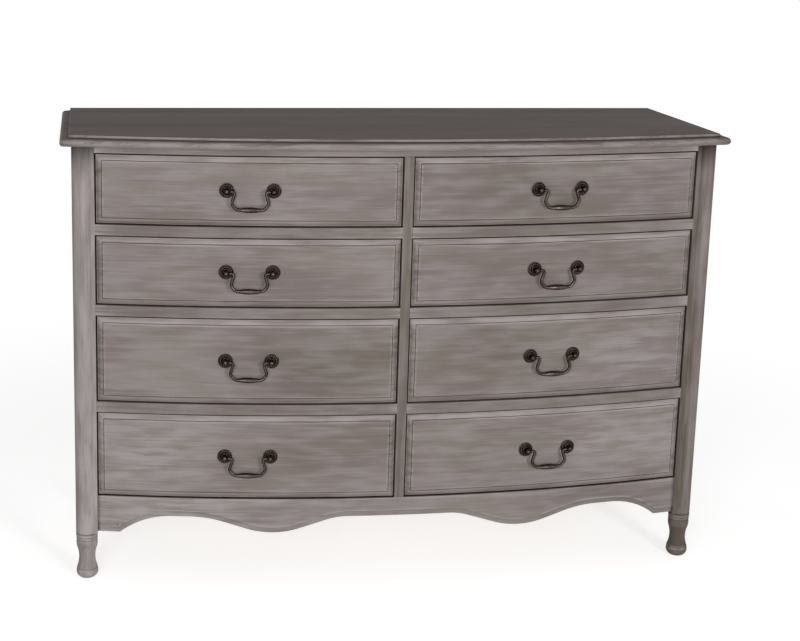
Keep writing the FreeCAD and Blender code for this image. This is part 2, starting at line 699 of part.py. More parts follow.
def drawer_pieces(row):
    """Sub-parts of the right-hand drawer of a row, by their plain names."""
    base, head = row_openings[row]
    low = base + FRONT_GAP
    high = head - FRONT_GAP
    return {"drawer_front": [make_drawer_front(base, head)], "drawer_box": make_drawer_box(base, head),
            "drawer_bottom": [make_drawer_bottom(base)], "pull_mounts": make_pull_mounts(low, high),
            "pull_bail": [make_pull_bail(low, high)]}


def write(name, solids):
    shape = solids[0] if len(solids) == 1 else Part.makeCompound(solids)
    shape.exportStep(os.path.join("parts", name + ".step"))


def main():
    os.makedirs("parts", exist_ok=True)
    front_post = make_front_post()
    rear_post = make_rear_post()
    side_panel = make_side_panel()
    nodes = {"top_board": [make_top_board()], "back_panel": [make_back_panel()],
             "front_post_right": [front_post], "front_post_left": [mirrored(front_post)],
             "rear_post_right": [rear_post], "rear_post_left": [mirrored(rear_post)],
             "side_panel_right": [side_panel], "side_panel_left": [mirrored(side_panel)],
             "side_rails": make_side_rails(), "back_rails": make_back_rails(),
             "top_rail": [make_top_rail()], "divider_rails": make_divider_rails(),
             "centre_stile": [make_centre_stile()], "bottom_rail": [make_bottom_rail()],
             "apron": [make_apron()], "centre_partition": [make_centre_partition()],
             "drawer_runners": make_drawer_runners(), "drawer_guides": make_drawer_guides(),
             "top_cleats": make_top_cleats(), "case_bottom": [make_case_bottom()]}
    for row in row_openings:
        for name, solids in drawer_pieces(row).items():
            nodes[name + "_right_" + str(row)] = solids
            nodes[name + "_left_" + str(row)] = [mirrored(solid) for solid in solids]
    for name, solids in nodes.items():
        write(name, solids)


main()
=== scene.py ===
import bmesh
import bpy
import cmath
import math
from bpy.props import FloatProperty, FloatVectorProperty, IntProperty, PointerProperty
from mathutils import Matrix, Vector


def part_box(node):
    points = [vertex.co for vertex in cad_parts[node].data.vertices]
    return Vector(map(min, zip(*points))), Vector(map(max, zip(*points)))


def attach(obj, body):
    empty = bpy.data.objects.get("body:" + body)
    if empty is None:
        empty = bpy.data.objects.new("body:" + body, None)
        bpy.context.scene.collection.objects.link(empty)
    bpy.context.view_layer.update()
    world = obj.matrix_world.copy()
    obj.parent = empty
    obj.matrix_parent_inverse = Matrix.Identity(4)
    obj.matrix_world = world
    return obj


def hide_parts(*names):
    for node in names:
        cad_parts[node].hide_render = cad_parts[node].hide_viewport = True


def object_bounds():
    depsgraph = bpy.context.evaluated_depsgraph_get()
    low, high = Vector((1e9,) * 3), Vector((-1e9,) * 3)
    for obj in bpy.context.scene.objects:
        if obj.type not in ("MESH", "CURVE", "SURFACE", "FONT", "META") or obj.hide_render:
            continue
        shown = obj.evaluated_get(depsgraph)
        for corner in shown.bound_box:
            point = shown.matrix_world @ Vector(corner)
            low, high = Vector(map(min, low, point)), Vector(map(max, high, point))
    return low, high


bl_info = {
    "name": "Bow-Front Dresser",
    "version": (1, 0, 0),
    "blender": (4, 5, 0),
    "location": "View3D > Sidebar > Dresser",
    "description": "Dresses the packed frame of a grey-washed bow-front dresser with eight drawers",
    "category": "Add Mesh",
}

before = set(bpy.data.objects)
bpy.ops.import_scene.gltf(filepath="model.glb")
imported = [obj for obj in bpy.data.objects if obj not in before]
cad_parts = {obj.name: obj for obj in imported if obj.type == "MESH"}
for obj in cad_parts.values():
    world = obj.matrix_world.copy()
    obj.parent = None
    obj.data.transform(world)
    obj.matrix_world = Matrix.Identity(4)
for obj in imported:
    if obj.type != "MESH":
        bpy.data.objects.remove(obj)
cad_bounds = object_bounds()

MM = 0.001
ROWS = (1, 2, 3, 4)
SIDES = ("left", "right")
TAGS = tuple(f"{side}_{row}" for row in ROWS for side in SIDES)
FRONT_GAP = 3 * MM  # round each drawer front

# Each board has a number of its own, so that no brush stroke runs on from one board to the next
BOARDS = {f"drawer_front_{tag}": number for number, tag in enumerate(TAGS, 1)}
BOARDS.update(divider_rails=11, top_rail=12, centre_stile=13, apron=14, front_post_left=15,
              front_post_right=16)

# The bow of the front, in plan, from the rails of the frame
BOW_RISE = 0.07
top_rail_low, top_rail_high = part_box("top_rail")
open_half = top_rail_high.x
rail_back = top_rail_high.y
bow_radius = (open_half ** 2 + BOW_RISE ** 2) / (2 * BOW_RISE)
bow_centre_y = top_rail_low.y + bow_radius


def bow_y(x, setback=0):
    """Where the bowed front stands at x, set back into the wood from the rails' face."""
    return bow_centre_y - math.sqrt((bow_radius - setback) ** 2 - x ** 2)


def clamp(value):
    return min(1, max(0, value))


def circle(sides):
    """Angles evenly spread round a circle."""
    return [2 * math.pi * k / sides for k in range(sides)]


def drawn_in(low, high, inset, share):
    """Place at a share of a span that is drawn in at both ends."""
    return low + inset + (high - low - 2 * inset) * share


def with_settings(thing, **settings):
    for key, value in settings.items():
        setattr(thing, key, value)
    return thing


def add_object(name, data):
    made = bpy.data.objects.new(name, data)
    bpy.context.scene.collection.objects.link(made)
    return made


# Settings that a user may change

def colour_setting(name, description, default):
    return FloatVectorProperty(name=name, description=description, subtype="COLOR", size=3, min=0, max=1,
                               default=default)


def number_setting(name, description, low, high, default, unit="NONE"):
    return FloatProperty(name=name, description=description, min=low, max=high, default=default, unit=unit)


def length_setting(*about):
    return number_setting(*about, unit="LENGTH")


class WoodSettings(bpy.types.PropertyGroup):
    """Colours and brushwork of the washed wood."""

    wash: colour_setting("Wash", "Middle tone of the grey wash", (0.246, 0.209, 0.203))
    wash_warm: colour_setting(
        "Warm Wash", "Where the grey wash turns to a warmer brown", (0.244, 0.21, 0.182))
    wash_light: colour_setting("Dry Brush", "Pale dabs brushed over the wash", (0.345, 0.312, 0.316))
    wash_dark: colour_setting(
        "Thin Wash", "Where the wash is thin and the stain shows through", (0.178, 0.146, 0.137))
    # Stain colour: real stain, and painted shade on the right front post's inner side and the drawers' side
    # and lower margins.
    stain: colour_setting("Stain", "Dark brown stain where the wash is rubbed thin", (0.118, 0.096, 0.078))
    # Chalk colour: thick pale wash, and a painted highlight along the drawers' upper margins.
    chalk: colour_setting(
        "Chalk", "Thick pale wash, on the left post, the apron and low on the drawers", (0.455, 0.412, 0.415))
    # Glaze colour: real dark glaze, and painted shade in the quirks, grooves and gaps where it is laid.
    glaze: colour_setting("Glaze", "Dark glaze that stays in quirks and grooves", (0.042, 0.024, 0.019))
    # Worn colour: rubbed edges, and a painted highlight along the drawers' upper margins.
    worn: colour_setting("Worn Edge", "Pale wood where edges are rubbed through", (0.445, 0.4, 0.375))
    # Top colour: a darker coat, partly painted shade on the upper faces of the top.
    top: colour_setting("Top", "Darker coat on the upper face of the top", (0.139, 0.109, 0.1))
    stroke_length: length_setting(
        "Stroke Length", "Length of a brush stroke along the grain", 0.02, 2, 0.15)
    stroke_width: length_setting(
        "Stroke Width", "Width of a brush stroke across the grain", 0.001, 0.2, 0.011)
    roughness: number_setting("Roughness", "Roughness of the waxed finish", 0, 1, 0.6)


class RawWoodSettings(bpy.types.PropertyGroup):
    """Unfinished wood inside the case and the drawers."""

    inner: colour_setting("Case Wood", "Runners, partition and back", (0.345, 0.238, 0.146))
    drawer: colour_setting("Drawer Wood", "Drawer sides and bottoms", (0.462, 0.34, 0.222))


class EdgeSettings(bpy.types.PropertyGroup):
    """Hand-sanded edges of the wood."""

    rail_round: length_setting("Rail Edge", "Rounding of the rails' front edges", 0.0002, 0.004, 0.0014)
    plain_round: length_setting(
        "Plain Edge", "Rounding of plain boards inside and behind", 0.0002, 0.003, 0.0008)


class PullSettings(bpy.types.PropertyGroup):
    """Cast swan-neck pulls."""

    bronze: colour_setting("Bronze", "Dark patina", (0.022, 0.015, 0.013))
    # Rubbed colour: rubbed metal, and a painted highlight along the front of the bails and knobs.
    rubbed: colour_setting("Rubbed Bronze", "Metal that hands have rubbed bright", (0.15, 0.122, 0.108))
    petals: IntProperty(
        name="Petals", description="Petals round each rosette", min=4, max=40, default=16)
    petal_depth: length_setting(
        "Petal Depth", "How deep the grooves between petals are", 0, 0.002, 0.0006)


class StageSettings(bpy.types.PropertyGroup):
    """Lamps round the dresser."""

    ambient: number_setting("Ambient", "Light from all round", 0, 2, 0.23)
    key: number_setting("Key", "Power of the lamp on the right, in front", 0, 2000, 90, "POWER")
    fill: number_setting(
        "Fill", "Power of the large soft lamp on the left, in front", 0, 2000, 76, "POWER")


# Meshes

class Shell:
    """A mesh in the making, whose points carry how worn, glazed, top-coated, chalky and stained they are,
    where the wear and chalk also hold painted highlights and the glaze, coat and stain painted shade.

    The tint is the least (chalk, stain), or a function of the place that gives it, for pieces whose wash
    changes from one end to the other. The node whose board this is gives the board's number.
    """

    MARKS = ("wear", "glaze", "topcoat", "chalk", "stain", "board")

    def __init__(self, tint=(0, 0), node=None):
        self.bm = bmesh.new()
        self.layers = [self.bm.verts.layers.float.new(mark) for mark in self.MARKS]
        self.tint = tint
        self.board = float(BOARDS.get(node, 0))

    def point(self, place, wear=0, glaze=0, topcoat=0, chalk=0, stain=0):
        vert = self.bm.verts.new(place)
        chalked, stained_and_shaded = self.tint(place) if callable(self.tint) else self.tint
        marks = (wear, glaze, topcoat, max(chalk, chalked), max(stain, stained_and_shaded), self.board)
        for layer, value in zip(self.layers, marks):
            vert[layer] = value
        return vert

    def bridge(self, first, second, closed=True):
        count = len(first) if closed else len(first) - 1
        for i in range(count):
            j = (i + 1) % len(first)
            self.bm.faces.new((first[i], first[j], second[j], second[i]))

    def skin(self, rings, far_end=True):
        """Walls from ring to ring, with a face on the first and on the last."""
        self.bm.faces.new(rings[0])
        for first, second in zip(rings, rings[1:]):
            self.bridge(first, second)
        if far_end:
            self.bm.faces.new(rings[-1])

    def grid(self, nx, ny, make, row):
        """Grid of points make(s, t, *row), its faces, and the ring of points round its edge."""
        verts = [[make(i / nx, j / ny, *row) for i in range(nx + 1)] for j in range(ny + 1)]
        for low, high in zip(verts, verts[1:]):
            self.bridge(low, high, closed=False)
        return [verts[round(t * ny)][round(s * nx)] for s, t in edge_places(nx, ny)]

    def object(self, name, finish, flat=True):
        """The finished object, with its faces turned outwards and shaded smooth."""
        bmesh.ops.recalc_face_normals(self.bm, faces=self.bm.faces)
        for face in self.bm.faces:
            face.smooth = True
        mesh = bpy.data.meshes.new(name)
        self.bm.to_mesh(mesh)
        self.bm.free()
        mesh.materials.append(finish_of(finish))
        made = add_object(name, mesh)
        if flat:
            with_settings(made.modifiers.new("flat_faces", "WEIGHTED_NORMAL"), keep_sharp=True)
        return made


def edge_places(nx, ny):
    """Places (s, t) round the edge of the unit square, each once."""
    return ([(i / nx, 0) for i in range(nx)] + [(1, j / ny) for j in range(ny)]
            + [(1 - i / nx, 1) for i in range(nx)] + [(0, 1 - j / ny) for j in range(ny)])


def layered(shell, rows, nx, ny, make):
    """Closed solid of nested outlines, one for each row of a table. make(s, t, *row) adds a point of it.

    The first and last outlines are filled with a grid, so that they can follow a bow.
    """
    before = shell.grid(nx, ny, make, rows[0])
    for row in rows[1:-1]:
        ring = [make(s, t, *row) for s, t in edge_places(nx, ny)]
        shell.bridge(before, ring)
        before = ring
    shell.bridge(before, shell.grid(nx, ny, make, rows[-1]))


def arc_through(start, middle, end, steps):
    """Points after start on the circle through three points of a plane, as far as end."""
    a, b, c = (complex(*point) for point in (start, middle, end))
    skew = (c - a) / (b - a)
    centre = a + (b - a) * (skew - abs(skew) ** 2) / (2j * skew.imag)
    first, by_middle, by_end = (cmath.phase(point - centre) for point in (a, b, c))
    turn = (by_end - first) % (2 * math.pi)
    if (by_middle - first) % (2 * math.pi) > turn:
        turn -= 2 * math.pi
    spots = [centre + cmath.rect(abs(a - centre), first + turn * (i + 1) / steps) for i in range(steps)]
    return [(spot.real, spot.imag) for spot in spots]


def rounded_points(corners, step):
    """Points of a plane along corners ((x, z), radius), each corner rounded by its radius."""
    points = [Vector(corners[0][0])]
    for (before, _), (corner, radius), (after, _) in zip(corners, corners[1:], corners[2:]):
        corner = Vector(corner)
        back = (Vector(before) - corner).normalized()
        ahead = (Vector(after) - corner).normalized()
        if radius == 0:
            points.append(corner)
            continue
        half_turn = (math.pi - back.angle(ahead)) / 2
        reach = radius * math.tan(half_turn)
        crown = corner + (back + ahead).normalized() * (radius / math.cos(half_turn) - radius)
        start, end = corner + back * reach, corner + ahead * reach
        count = max(3, round(2 * half_turn * radius / step))
        points.append(start)
        points.extend(Vector(p) for p in arc_through(start, crown, end, count))
    points.append(Vector(corners[-1][0]))
    return points


def spread(points, step):
    """The same line with extra points on its long straight stretches."""
    result = [points[0]]
    for start, end in zip(points, points[1:]):
        count = max(1, math.ceil((end - start).length / step))
        result.extend(start.lerp(end, (i + 1) / count) for i in range(count))
    return result


def inward_normals(points):
    """Unit normals to the left of a line's way, stretched at corners so that offsets stay parallel."""
    ways = [(b - a).normalized() for a, b in zip(points, points[1:])]
    ways = [ways[0]] + ways + [ways[-1]]
    normals = []
    for a, b in zip(ways, ways[1:]):
        middle = (a + b).normalized()
        normals.append(Vector((-middle.y, middle.x)) / max(0.5, middle.dot(a)))
    return normals


def turned(shell, profile, place, sides=48, shape=None):
    """Solid turned about an axis. The profile holds (radius, height, wear, glaze), where on wood the glaze is
    also painted shade in the grooves; place(u, v, h) is a point.

    shape(angle, index) gives how far a point is pushed out along the axis, and how dark its groove is.
    """
    rings = []
    for index, (radius, height, wear, glaze) in enumerate(profile):
        ring = []
        for angle in circle(sides):
            push, groove = shape(angle, index) if shape else (0, 0)
            spot = place(radius * math.cos(angle), radius * math.sin(angle), height + push)
            ring.append(shell.point(spot, clamp(wear - groove), clamp(glaze + groove)))
        rings.append(ring)
    shell.skin(rings)


def dress(piece, body, slot, *nodes):
    """Put a finished piece on its body in place of the frame's plain nodes."""
    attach(piece, body)
    if nodes:
        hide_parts(*nodes)


# Materials

BOARD_SHIFT = 3.7  # how far apart two boards lie in the noise
GLAZED_BRONZE = (0.012, 0.009, 0.008)
WHITE = (1, 1, 1)
FLOOR_LIFT = 0.68  # how far the floor is lifted towards white, for the camera alone
FLOOR_FADE = (1.1, 2.4)  # it fades into the white background over these distances


class Nodes:
    """A tree of shader nodes, with short calls for those that the finishes use."""

    def __init__(self, tree):
        self.tree = tree

    def add(self, kind, inputs=None, **settings):
        node = with_settings(self.tree.nodes.new("ShaderNode" + kind), **settings)
        for key, value in (inputs or {}).items():
            self.put(node.inputs[key], value)
        return node

    def put(self, socket, value):
        if isinstance(value, bpy.types.NodeSocket):
            self.tree.links.new(value, socket)
        elif hasattr(value, "__len__") and len(socket.default_value) == 4 and len(value) == 3:
            socket.default_value = (*value, 1)
        else:
            socket.default_value = value

    def calc(self, operation, *values):
        return self.add("Math", dict(enumerate(values)), operation=operation).outputs[0]

    def times(self, a, b):
        return self.calc("MULTIPLY", a, b)

    def sum(self, *parts):
        """Weighted sum of (socket, weight)."""
        total = None
        for socket, weight in parts:
            scaled = self.times(socket, weight)
            total = scaled if total is None else self.calc("ADD", total, scaled)
        return total

    def vector(self, *parts):
        return self.add("CombineXYZ", dict(enumerate(parts))).outputs[0]

    def length(self, vector):
        return self.add("VectorMath", {0: vector}, operation="LENGTH").outputs["Value"]

    def sees_background(self):
        """One where the camera, or metal and glass, look straight at it, and zero for light on the object."""
        path = self.add("LightPath").outputs
        mirrored = self.calc("MAXIMUM", path["Is Glossy Ray"], path["Is Transmission Ray"])
        return self.calc("MAXIMUM", path["Is Camera Ray"], mirrored)


class Paint(Nodes):
    """A material in the making."""

    def __init__(self, name):
        self.material = bpy.data.materials.new(name)
        self.material.use_nodes = True
        super().__init__(self.material.node_tree)
        self.shader = self.tree.nodes["Principled BSDF"]

    def place(self):
        return self.add("TexCoord").outputs["Object"]

    def place_on_bow(self):
        """Place as seen along the bowed front: across, in from the bow's centre, and up."""
        across, back, up = self.add("SeparateXYZ", {0: self.place()}).outputs[:3]
        reach = self.length(self.vector(across, self.calc("SUBTRACT", back, bow_centre_y)))
        return self.vector(across, reach, up)

    def board_place(self, place):
        """Place on a board of its own, far from the boards with other numbers."""
        far = self.times(self.mark("board"), BOARD_SHIFT)
        return self.add("VectorMath", {0: place, 1: self.vector(far, far, far)}).outputs["Vector"]

    def noise(self, place, scale, shift=(0, 0, 0), detail=3, roughness=0.55, distortion=0):
        """Noise with its own scale along each axis."""
        stretched = self.add("Mapping", {"Vector": place, "Scale": scale, "Location": shift})
        inputs = {"Vector": stretched.outputs[0], "Scale": 1, "Detail": detail, "Roughness": roughness,
                  "Distortion": distortion}
        return self.add("TexNoise", inputs).outputs["Fac"]

    def between(self, value, low, high, start=0, end=1):
        inputs = {"Value": value, "From Min": low, "From Max": high, "To Min": start, "To Max": end}
        return self.add("MapRange", inputs, interpolation_type="SMOOTHSTEP").outputs[0]

    def mix(self, share, a, b, blend="MIX"):
        node = self.add("Mix", {0: share, 6: a, 7: b}, data_type="RGBA", blend_type=blend)
        return node.outputs[2]

    def mark(self, name):
        return self.add("Attribute", attribute_name=name).outputs["Fac"]

    def bump(self, height, strength, distance):
        inputs = {"Height": height, "Strength": strength, "Distance": distance}
        return self.add("Bump", inputs).outputs[0]

    def finish(self, **sockets):
        for name, value in sockets.items():
            self.put(self.shader.inputs[name.replace("_", " ").title().replace("Ior", "IOR")], value)
        return self.material


def washed_wood(name, grain, coated=False):
    """Grey wash, brushed along the grain (axis 0 for x, 1 for y, 2 for z), with glaze and painted shade in
    quirks, grooves and gaps, and rubbed edges with a painted highlight along the drawers' upper margins.

    The wood of the top has a darker coat where its points are marked so, partly a real coat and partly
    painted shade on the faces that look up, and its grain is straight.
    """
    wood = bpy.context.scene.dresser_wood
    paint = Paint(name)
    place = paint.board_place(paint.place_on_bow() if grain == 0 and not coated else paint.place())
    length, width = wood.stroke_length, wood.stroke_width

    def marks(long, wide, shift, *noise):
        scale = [1 / wide] * 3
        scale[grain] = 1 / long
        return paint.noise(place, scale, shift, *noise)

    strokes = marks(1.5 * length, 0.8 * width, (0, 0, 0), 4, 0.54)
    dabs = marks(0.5 * length, 1.6 * width, (3.1, 7.7, 1.9), 2, 0.45)
    clouds = marks(0.28, 0.12, (8.3, 0.4, 5.2), 2, 0.5, 0.2)
    fibres = marks(0.6 * length, 0.2 * width, (0.7, 2.3, 4.1), 3, 0.55)
    hues = marks(0.34, 0.09, (5.9, 1.2, 6.6), 3, 0.5, 0.2)
    colour = paint.mix(paint.between(hues, 0.38, 0.62), wood.wash, wood.wash_warm)
    cover = paint.sum((strokes, 0.28), (clouds, 0.5), (fibres, 0.22))
    colour = paint.mix(paint.between(cover, 0.36, 0.56, 0.62, 0), colour, wood.wash_dark)
    patches = paint.sum((dabs, 0.32), (clouds, 0.26), (strokes, 0.18), (fibres, 0.24))
    colour = paint.mix(paint.between(patches, 0.42, 0.64, 0, 0.62), colour, wood.wash_light)
    # Stain, which on the right post's inner side and the drawers' side and lower margins is partly painted
    # shade.
    rubbed = paint.between(paint.sum((strokes, 0.5), (dabs, 0.5)), 0.38, 0.6, 1, 0.55)
    colour = paint.mix(paint.times(paint.mark("stain"), rubbed), colour, wood.stain)
    # Chalk, which along the drawers' upper margins is a painted highlight.
    caked = paint.between(paint.sum((dabs, 0.6), (fibres, 0.4)), 0.38, 0.6, 0.35, 1)
    colour = paint.mix(paint.times(paint.mark("chalk"), caked), colour, wood.chalk)
    shine, relief = 0.12, (0.35, 0.0006)
    if coated:
        shine, relief = 0.05, (0.25, 0.0005)
        band = paint.noise(place, (0.6, 9, 9), (4, 2, 0), 3, 0.5)
        cover = paint.sum((strokes, 0.45), (band, 0.35), (fibres, 0.2))
        # The top's darker coat, partly painted shade on faces that look up.
        coat = paint.mix(1, wood.top, paint.between(cover, 0.36, 0.64, 0.72, 1.32), "MULTIPLY")
        colour = paint.mix(paint.mark("topcoat"), colour, coat)
    # Glaze in quirks, grooves and gaps: real glaze, and painted shade where parts meet.
    glazed_and_shaded = paint.times(paint.mark("glaze"), paint.between(strokes, 0.3, 0.55, 0.75, 1))
    colour = paint.mix(glazed_and_shaded, colour, wood.glaze)
    # Rubbed pale edges, and a painted highlight along the drawers' upper margins.
    patchy = paint.between(paint.sum((strokes, 0.6), (fibres, 0.4)), 0.4, 0.56)
    colour = paint.mix(paint.times(paint.mark("wear"), patchy), colour, wood.worn)
    rough = paint.between(strokes, 0.3, 0.7, wood.roughness - 0.06, wood.roughness + 0.1)
    return paint.finish(base_color=colour, roughness=rough, specular_ior_level=shine,
                        normal=paint.bump(paint.sum((strokes, 0.4), (fibres, 0.6)), *relief))


def raw_wood(name, kind, scale):
    """Bare planed wood with growth rings drawn out along the grain."""
    base = getattr(bpy.context.scene.dresser_raw, kind)
    paint = Paint(name)
    place = paint.place()
    rings = paint.noise(place, scale, detail=2, roughness=0.5, distortion=0.8)
    bands = paint.calc("PINGPONG", paint.times(rings, 14), 1)
    pores = paint.noise(place, [6 * s for s in scale], detail=3, roughness=0.6)
    early, late, dark = (tuple(min(1, share * c) for c in base) for share in (1.1, 0.82, 0.5))
    colour = paint.mix(paint.between(bands, 0.3, 1), early, late)
    colour = paint.mix(paint.between(pores, 0.35, 0.6, 0.25, 0), colour, dark)
    rough = paint.between(bands, 0, 1, 0.62, 0.74)
    return paint.finish(base_color=colour, roughness=rough, normal=paint.bump(pores, 0.2, 0.0004))


def aged_bronze(name):
    """Cast bronze, dark in its hollows, rubbed bright on what hands touch, and with a painted highlight along
    the front of its bails and knobs.
    """
    pull = bpy.context.scene.dresser_pull
    paint = Paint(name)
    place = paint.place()
    patina = paint.noise(place, (260, 260, 260), detail=4, roughness=0.6)
    blotches = paint.noise(place, (70, 70, 70), detail=2, roughness=0.5)
    lighter = tuple(1.9 * c for c in pull.bronze)
    colour = paint.mix(paint.between(patina, 0.35, 0.7), pull.bronze, lighter)
    # Bright where marked worn: rubbed metal, and a painted highlight along the front of the bails and knobs.
    rubbed = paint.times(paint.mark("wear"), paint.between(blotches, 0.3, 0.62, 0.35, 1))
    colour = paint.mix(rubbed, colour, pull.rubbed)
    colour = paint.mix(paint.mark("glaze"), colour, GLAZED_BRONZE)
    rough = paint.between(patina, 0.3, 0.7, 0.22, 0.38)
    return paint.finish(base_color=colour, metallic=0.9, roughness=rough, specular_tint=(0.35, 0.28, 0.24),
                        normal=paint.bump(patina, 0.3, 0.0003))


def pale_floor(name):
    """Floor that keeps the shadow near the dresser and fades into the white background."""
    paint = Paint(name)
    grain = paint.noise(paint.place(), (3, 3, 3), detail=2, roughness=0.5)
    colour = paint.mix(paint.between(grain, 0.3, 0.7), (0.9, 0.9, 0.9), (0.93, 0.93, 0.93))
    paint.finish(base_color=colour, roughness=0.9, specular_ior_level=0)
    seen = paint.sees_background()
    lift = paint.add("Emission", {"Color": WHITE, "Strength": paint.times(seen, FLOOR_LIFT)})
    near = paint.add("AddShader", {0: paint.shader.outputs[0], 1: lift.outputs[0]})
    share = paint.times(paint.between(paint.length(paint.place()), *FLOOR_FADE), seen)
    white = paint.add("Emission", {"Color": WHITE, "Strength": 1})
    blend = paint.add("MixShader", {0: share, 1: near.outputs[0], 2: white.outputs[0]})
    paint.tree.links.new(blend.outputs[0], paint.tree.nodes["Material Output"].inputs["Surface"])
    return paint.material


# How each finish is made: the function, and what it is told
FINISHES = {
    "grey_wash_across": (washed_wood, 0),
    "grey_wash_along_side": (washed_wood, 1),
    "grey_wash_upright": (washed_wood, 2),
    "grey_wash_top": (washed_wood, 0, True),
    "bare_case_wood": (raw_wood, "inner", (1.2, 14, 14)),
    "bare_back_wood": (raw_wood, "inner", (7, 7, 0.7)),
    "bare_drawer_wood": (raw_wood, "drawer", (9, 1, 13)),
    "aged_bronze": (aged_bronze,),
    "pale_floor": (pale_floor,),
}


def finish_of(name):
    """The named material, made the first time it is asked for."""
    maker, *choices = FINISHES[name]
    return bpy.data.materials.get(name) or maker(name, *choices)


def repaint(node, finish, soften=True):
    """Give a node of the frame its finish, and soften its edges."""
    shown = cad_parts[node]
    shown.data.materials.clear()
    shown.data.materials.append(finish_of(finish))
    for polygon in shown.data.polygons:
        polygon.material_index = 0
    if soften:
        with_settings(shown.modifiers.new("weld", "WELD"), merge_threshold=0.01 * MM)
        round_edge = bpy.context.scene.dresser_edges.plain_round
        with_settings(shown.modifiers.new("sanded_edges", "BEVEL"), width=round_edge, segments=2,
                      limit_method="ANGLE", angle_limit=math.radians(35), harden_normals=True)


# Top board, from its raised field over the step to the ledge: (inset, drop, wear, glaze and painted shade,
# topcoat, a darker coat partly painted shade on faces that look up)
TOP_STEP = (
    (30, 0, 0, 0, 1), (22.6, 0, 0, 0, 1), (21, 0, 0.15, 0, 0.9), (20.1, 0.4, 0.45, 0, 0.4),
    (19.5, 1.5, 0.5, 0, 0.1), (19.5, 4.6, 0.35, 0.1, 0.1), (19.3, 5.7, 0, 0.8, 0.3),
    (18.4, 6.1, 0, 0.9, 0.6), (16.5, 6.27, 0, 0.3, 1), (9.6, 6.9, 0, 0.05, 1), (8.5, 7, 0, 0, 0.9))
TOP_NOSE = ((8.5, -7), (0, -15.5), (8.5, -24))  # its round nose: start, middle and end
BACK_EASE = 0.06  # the back edge is eased by this share of each inset
LAST_ROW = 0.997  # the last row of points before the back edge lies close to it


def top_edge_profile():
    """Edge of the top from its raised field down: (inset, height, wear, glaze and painted shade, topcoat and
    painted shade).
    """
    top = cad_bounds[1].z
    points = [(inset * MM, top - drop * MM, *marks) for inset, drop, *marks in TOP_STEP]
    for index, (inset, drop) in enumerate(arc_through(*TOP_NOSE, 14)):
        # On the nose: wear on its front, glaze and painted shade under it, and on its upper part, which faces
        # up, the darker coat with painted shade.
        marks = 0.35 * (2 <= index <= 6), 0.3 * (index >= 12), 0.7 * clamp(1 - index / 5)
        points.append((inset * MM, top + drop * MM, *marks))
    return points


def make_top_board():
    """Moulded along the front and the ends, with a plain back edge."""
    shell = Shell()
    half, back = cad_bounds[1].x, cad_bounds[1].y
    overhang = top_rail_low.y - cad_bounds[0].y
    across, deep = 56, 16

    def make(s, t, inset, z, wear, glaze, topcoat):
        x = (half - inset) * (2 * s - 1)
        front = bow_y(x, inset - overhang)
        eased_back = back - BACK_EASE * inset
        if t == 1:
            return shell.point((x, eased_back, z), topcoat=topcoat)
        reach = LAST_ROW * t * deep / (deep - 1)
        return shell.point((x, front + (eased_back - front) * reach, z), wear, glaze, topcoat)

    layered(shell, top_edge_profile(), across, deep, make)
    return shell.object("moulded_top", "grey_wash_top")


# Front frame: the sanded edges of its boards, in rounds of the edge, from the back to the middle of the face:
# (inset along x, inset along z, setback, wear, glaze and painted shade in the gaps, wear at the ends)
RAIL_EDGE = (
    (0, 0, 3, 0, 0.3, 0), (0, 0, 1, 0, 0.25, 0), (0, 0.3, 0.3, 0.1, 0, 0.7), (0, 1, 0, 0.1, 0, 0.8),
    (0.2, 3, 0, 0, 0, 0.55))
STILE_EDGE = (
    (0, 0, 3, 0, 0.3, 0), (0, 0, 1, 0, 0.3, 0), (0.3, 0, 0.3, 0.15, 0, 0), (1, 0, 0, 0.15, 0, 0),
    (2.5, 0, 0, 0, 0, 0))
RAIL_STAIN, TOP_RAIL_STAIN, STILE_STAIN = 0.3, 0.1, 0.62
WORN_END = 30 * MM  # hands and rags have rubbed the rails this far in from their ends


def add_framing(shell, low, high, sanding, nx, ny):
    """Board between two corners, flat behind (where there is no setback) and bowed in front."""
    edge = bpy.context.scene.dresser_edges.rail_round

    def make(s, t, inset_x, inset_z, setback, wear, glaze, end_wear):
        x = drawn_in(low.x, high.x, inset_x * edge, s)
        z = drawn_in(low.z, high.z, inset_z * edge, t)
        y = high.y if setback is None else bow_y(x, setback * edge)
        near_end = clamp(1 - min(x - low.x, high.x - x) / WORN_END)
        return shell.point((x, y, z), wear + end_wear * near_end, glaze)

    layered(shell, ((0, 0, None, 0, 0, 0), *sanding), nx, ny, make)


def make_divider_rails():
    """Rails between the rows of drawers, on both sides of the stile."""
    shell = Shell((0, RAIL_STAIN), "divider_rails")
    low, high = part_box("divider_rails")
    stile_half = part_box("centre_stile")[1].x
    for row in ROWS[1:]:
        z0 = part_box(f"drawer_front_left_{row}")[1].z + FRONT_GAP
        z1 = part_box(f"drawer_front_left_{row - 1}")[0].z - FRONT_GAP
        for x0, x1 in ((low.x, -stile_half), (stile_half, high.x)):
            add_framing(shell, Vector((x0, low.y, z0)), Vector((x1, high.y, z1)), RAIL_EDGE, 28, 4)
    return shell.object("sanded_divider_rails", "grey_wash_across")


def make_top_rail():
    shell = Shell((0, TOP_RAIL_STAIN), "top_rail")
    add_framing(shell, top_rail_low, top_rail_high, RAIL_EDGE, 56, 3)
    return shell.object("sanded_top_rail", "grey_wash_across")


def make_stile():
    shell = Shell((0, STILE_STAIN), "centre_stile")
    low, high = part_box("centre_stile")
    add_framing(shell, low, high, STILE_EDGE, 4, 40)
    return shell.object("sanded_centre_stile", "grey_wash_upright")


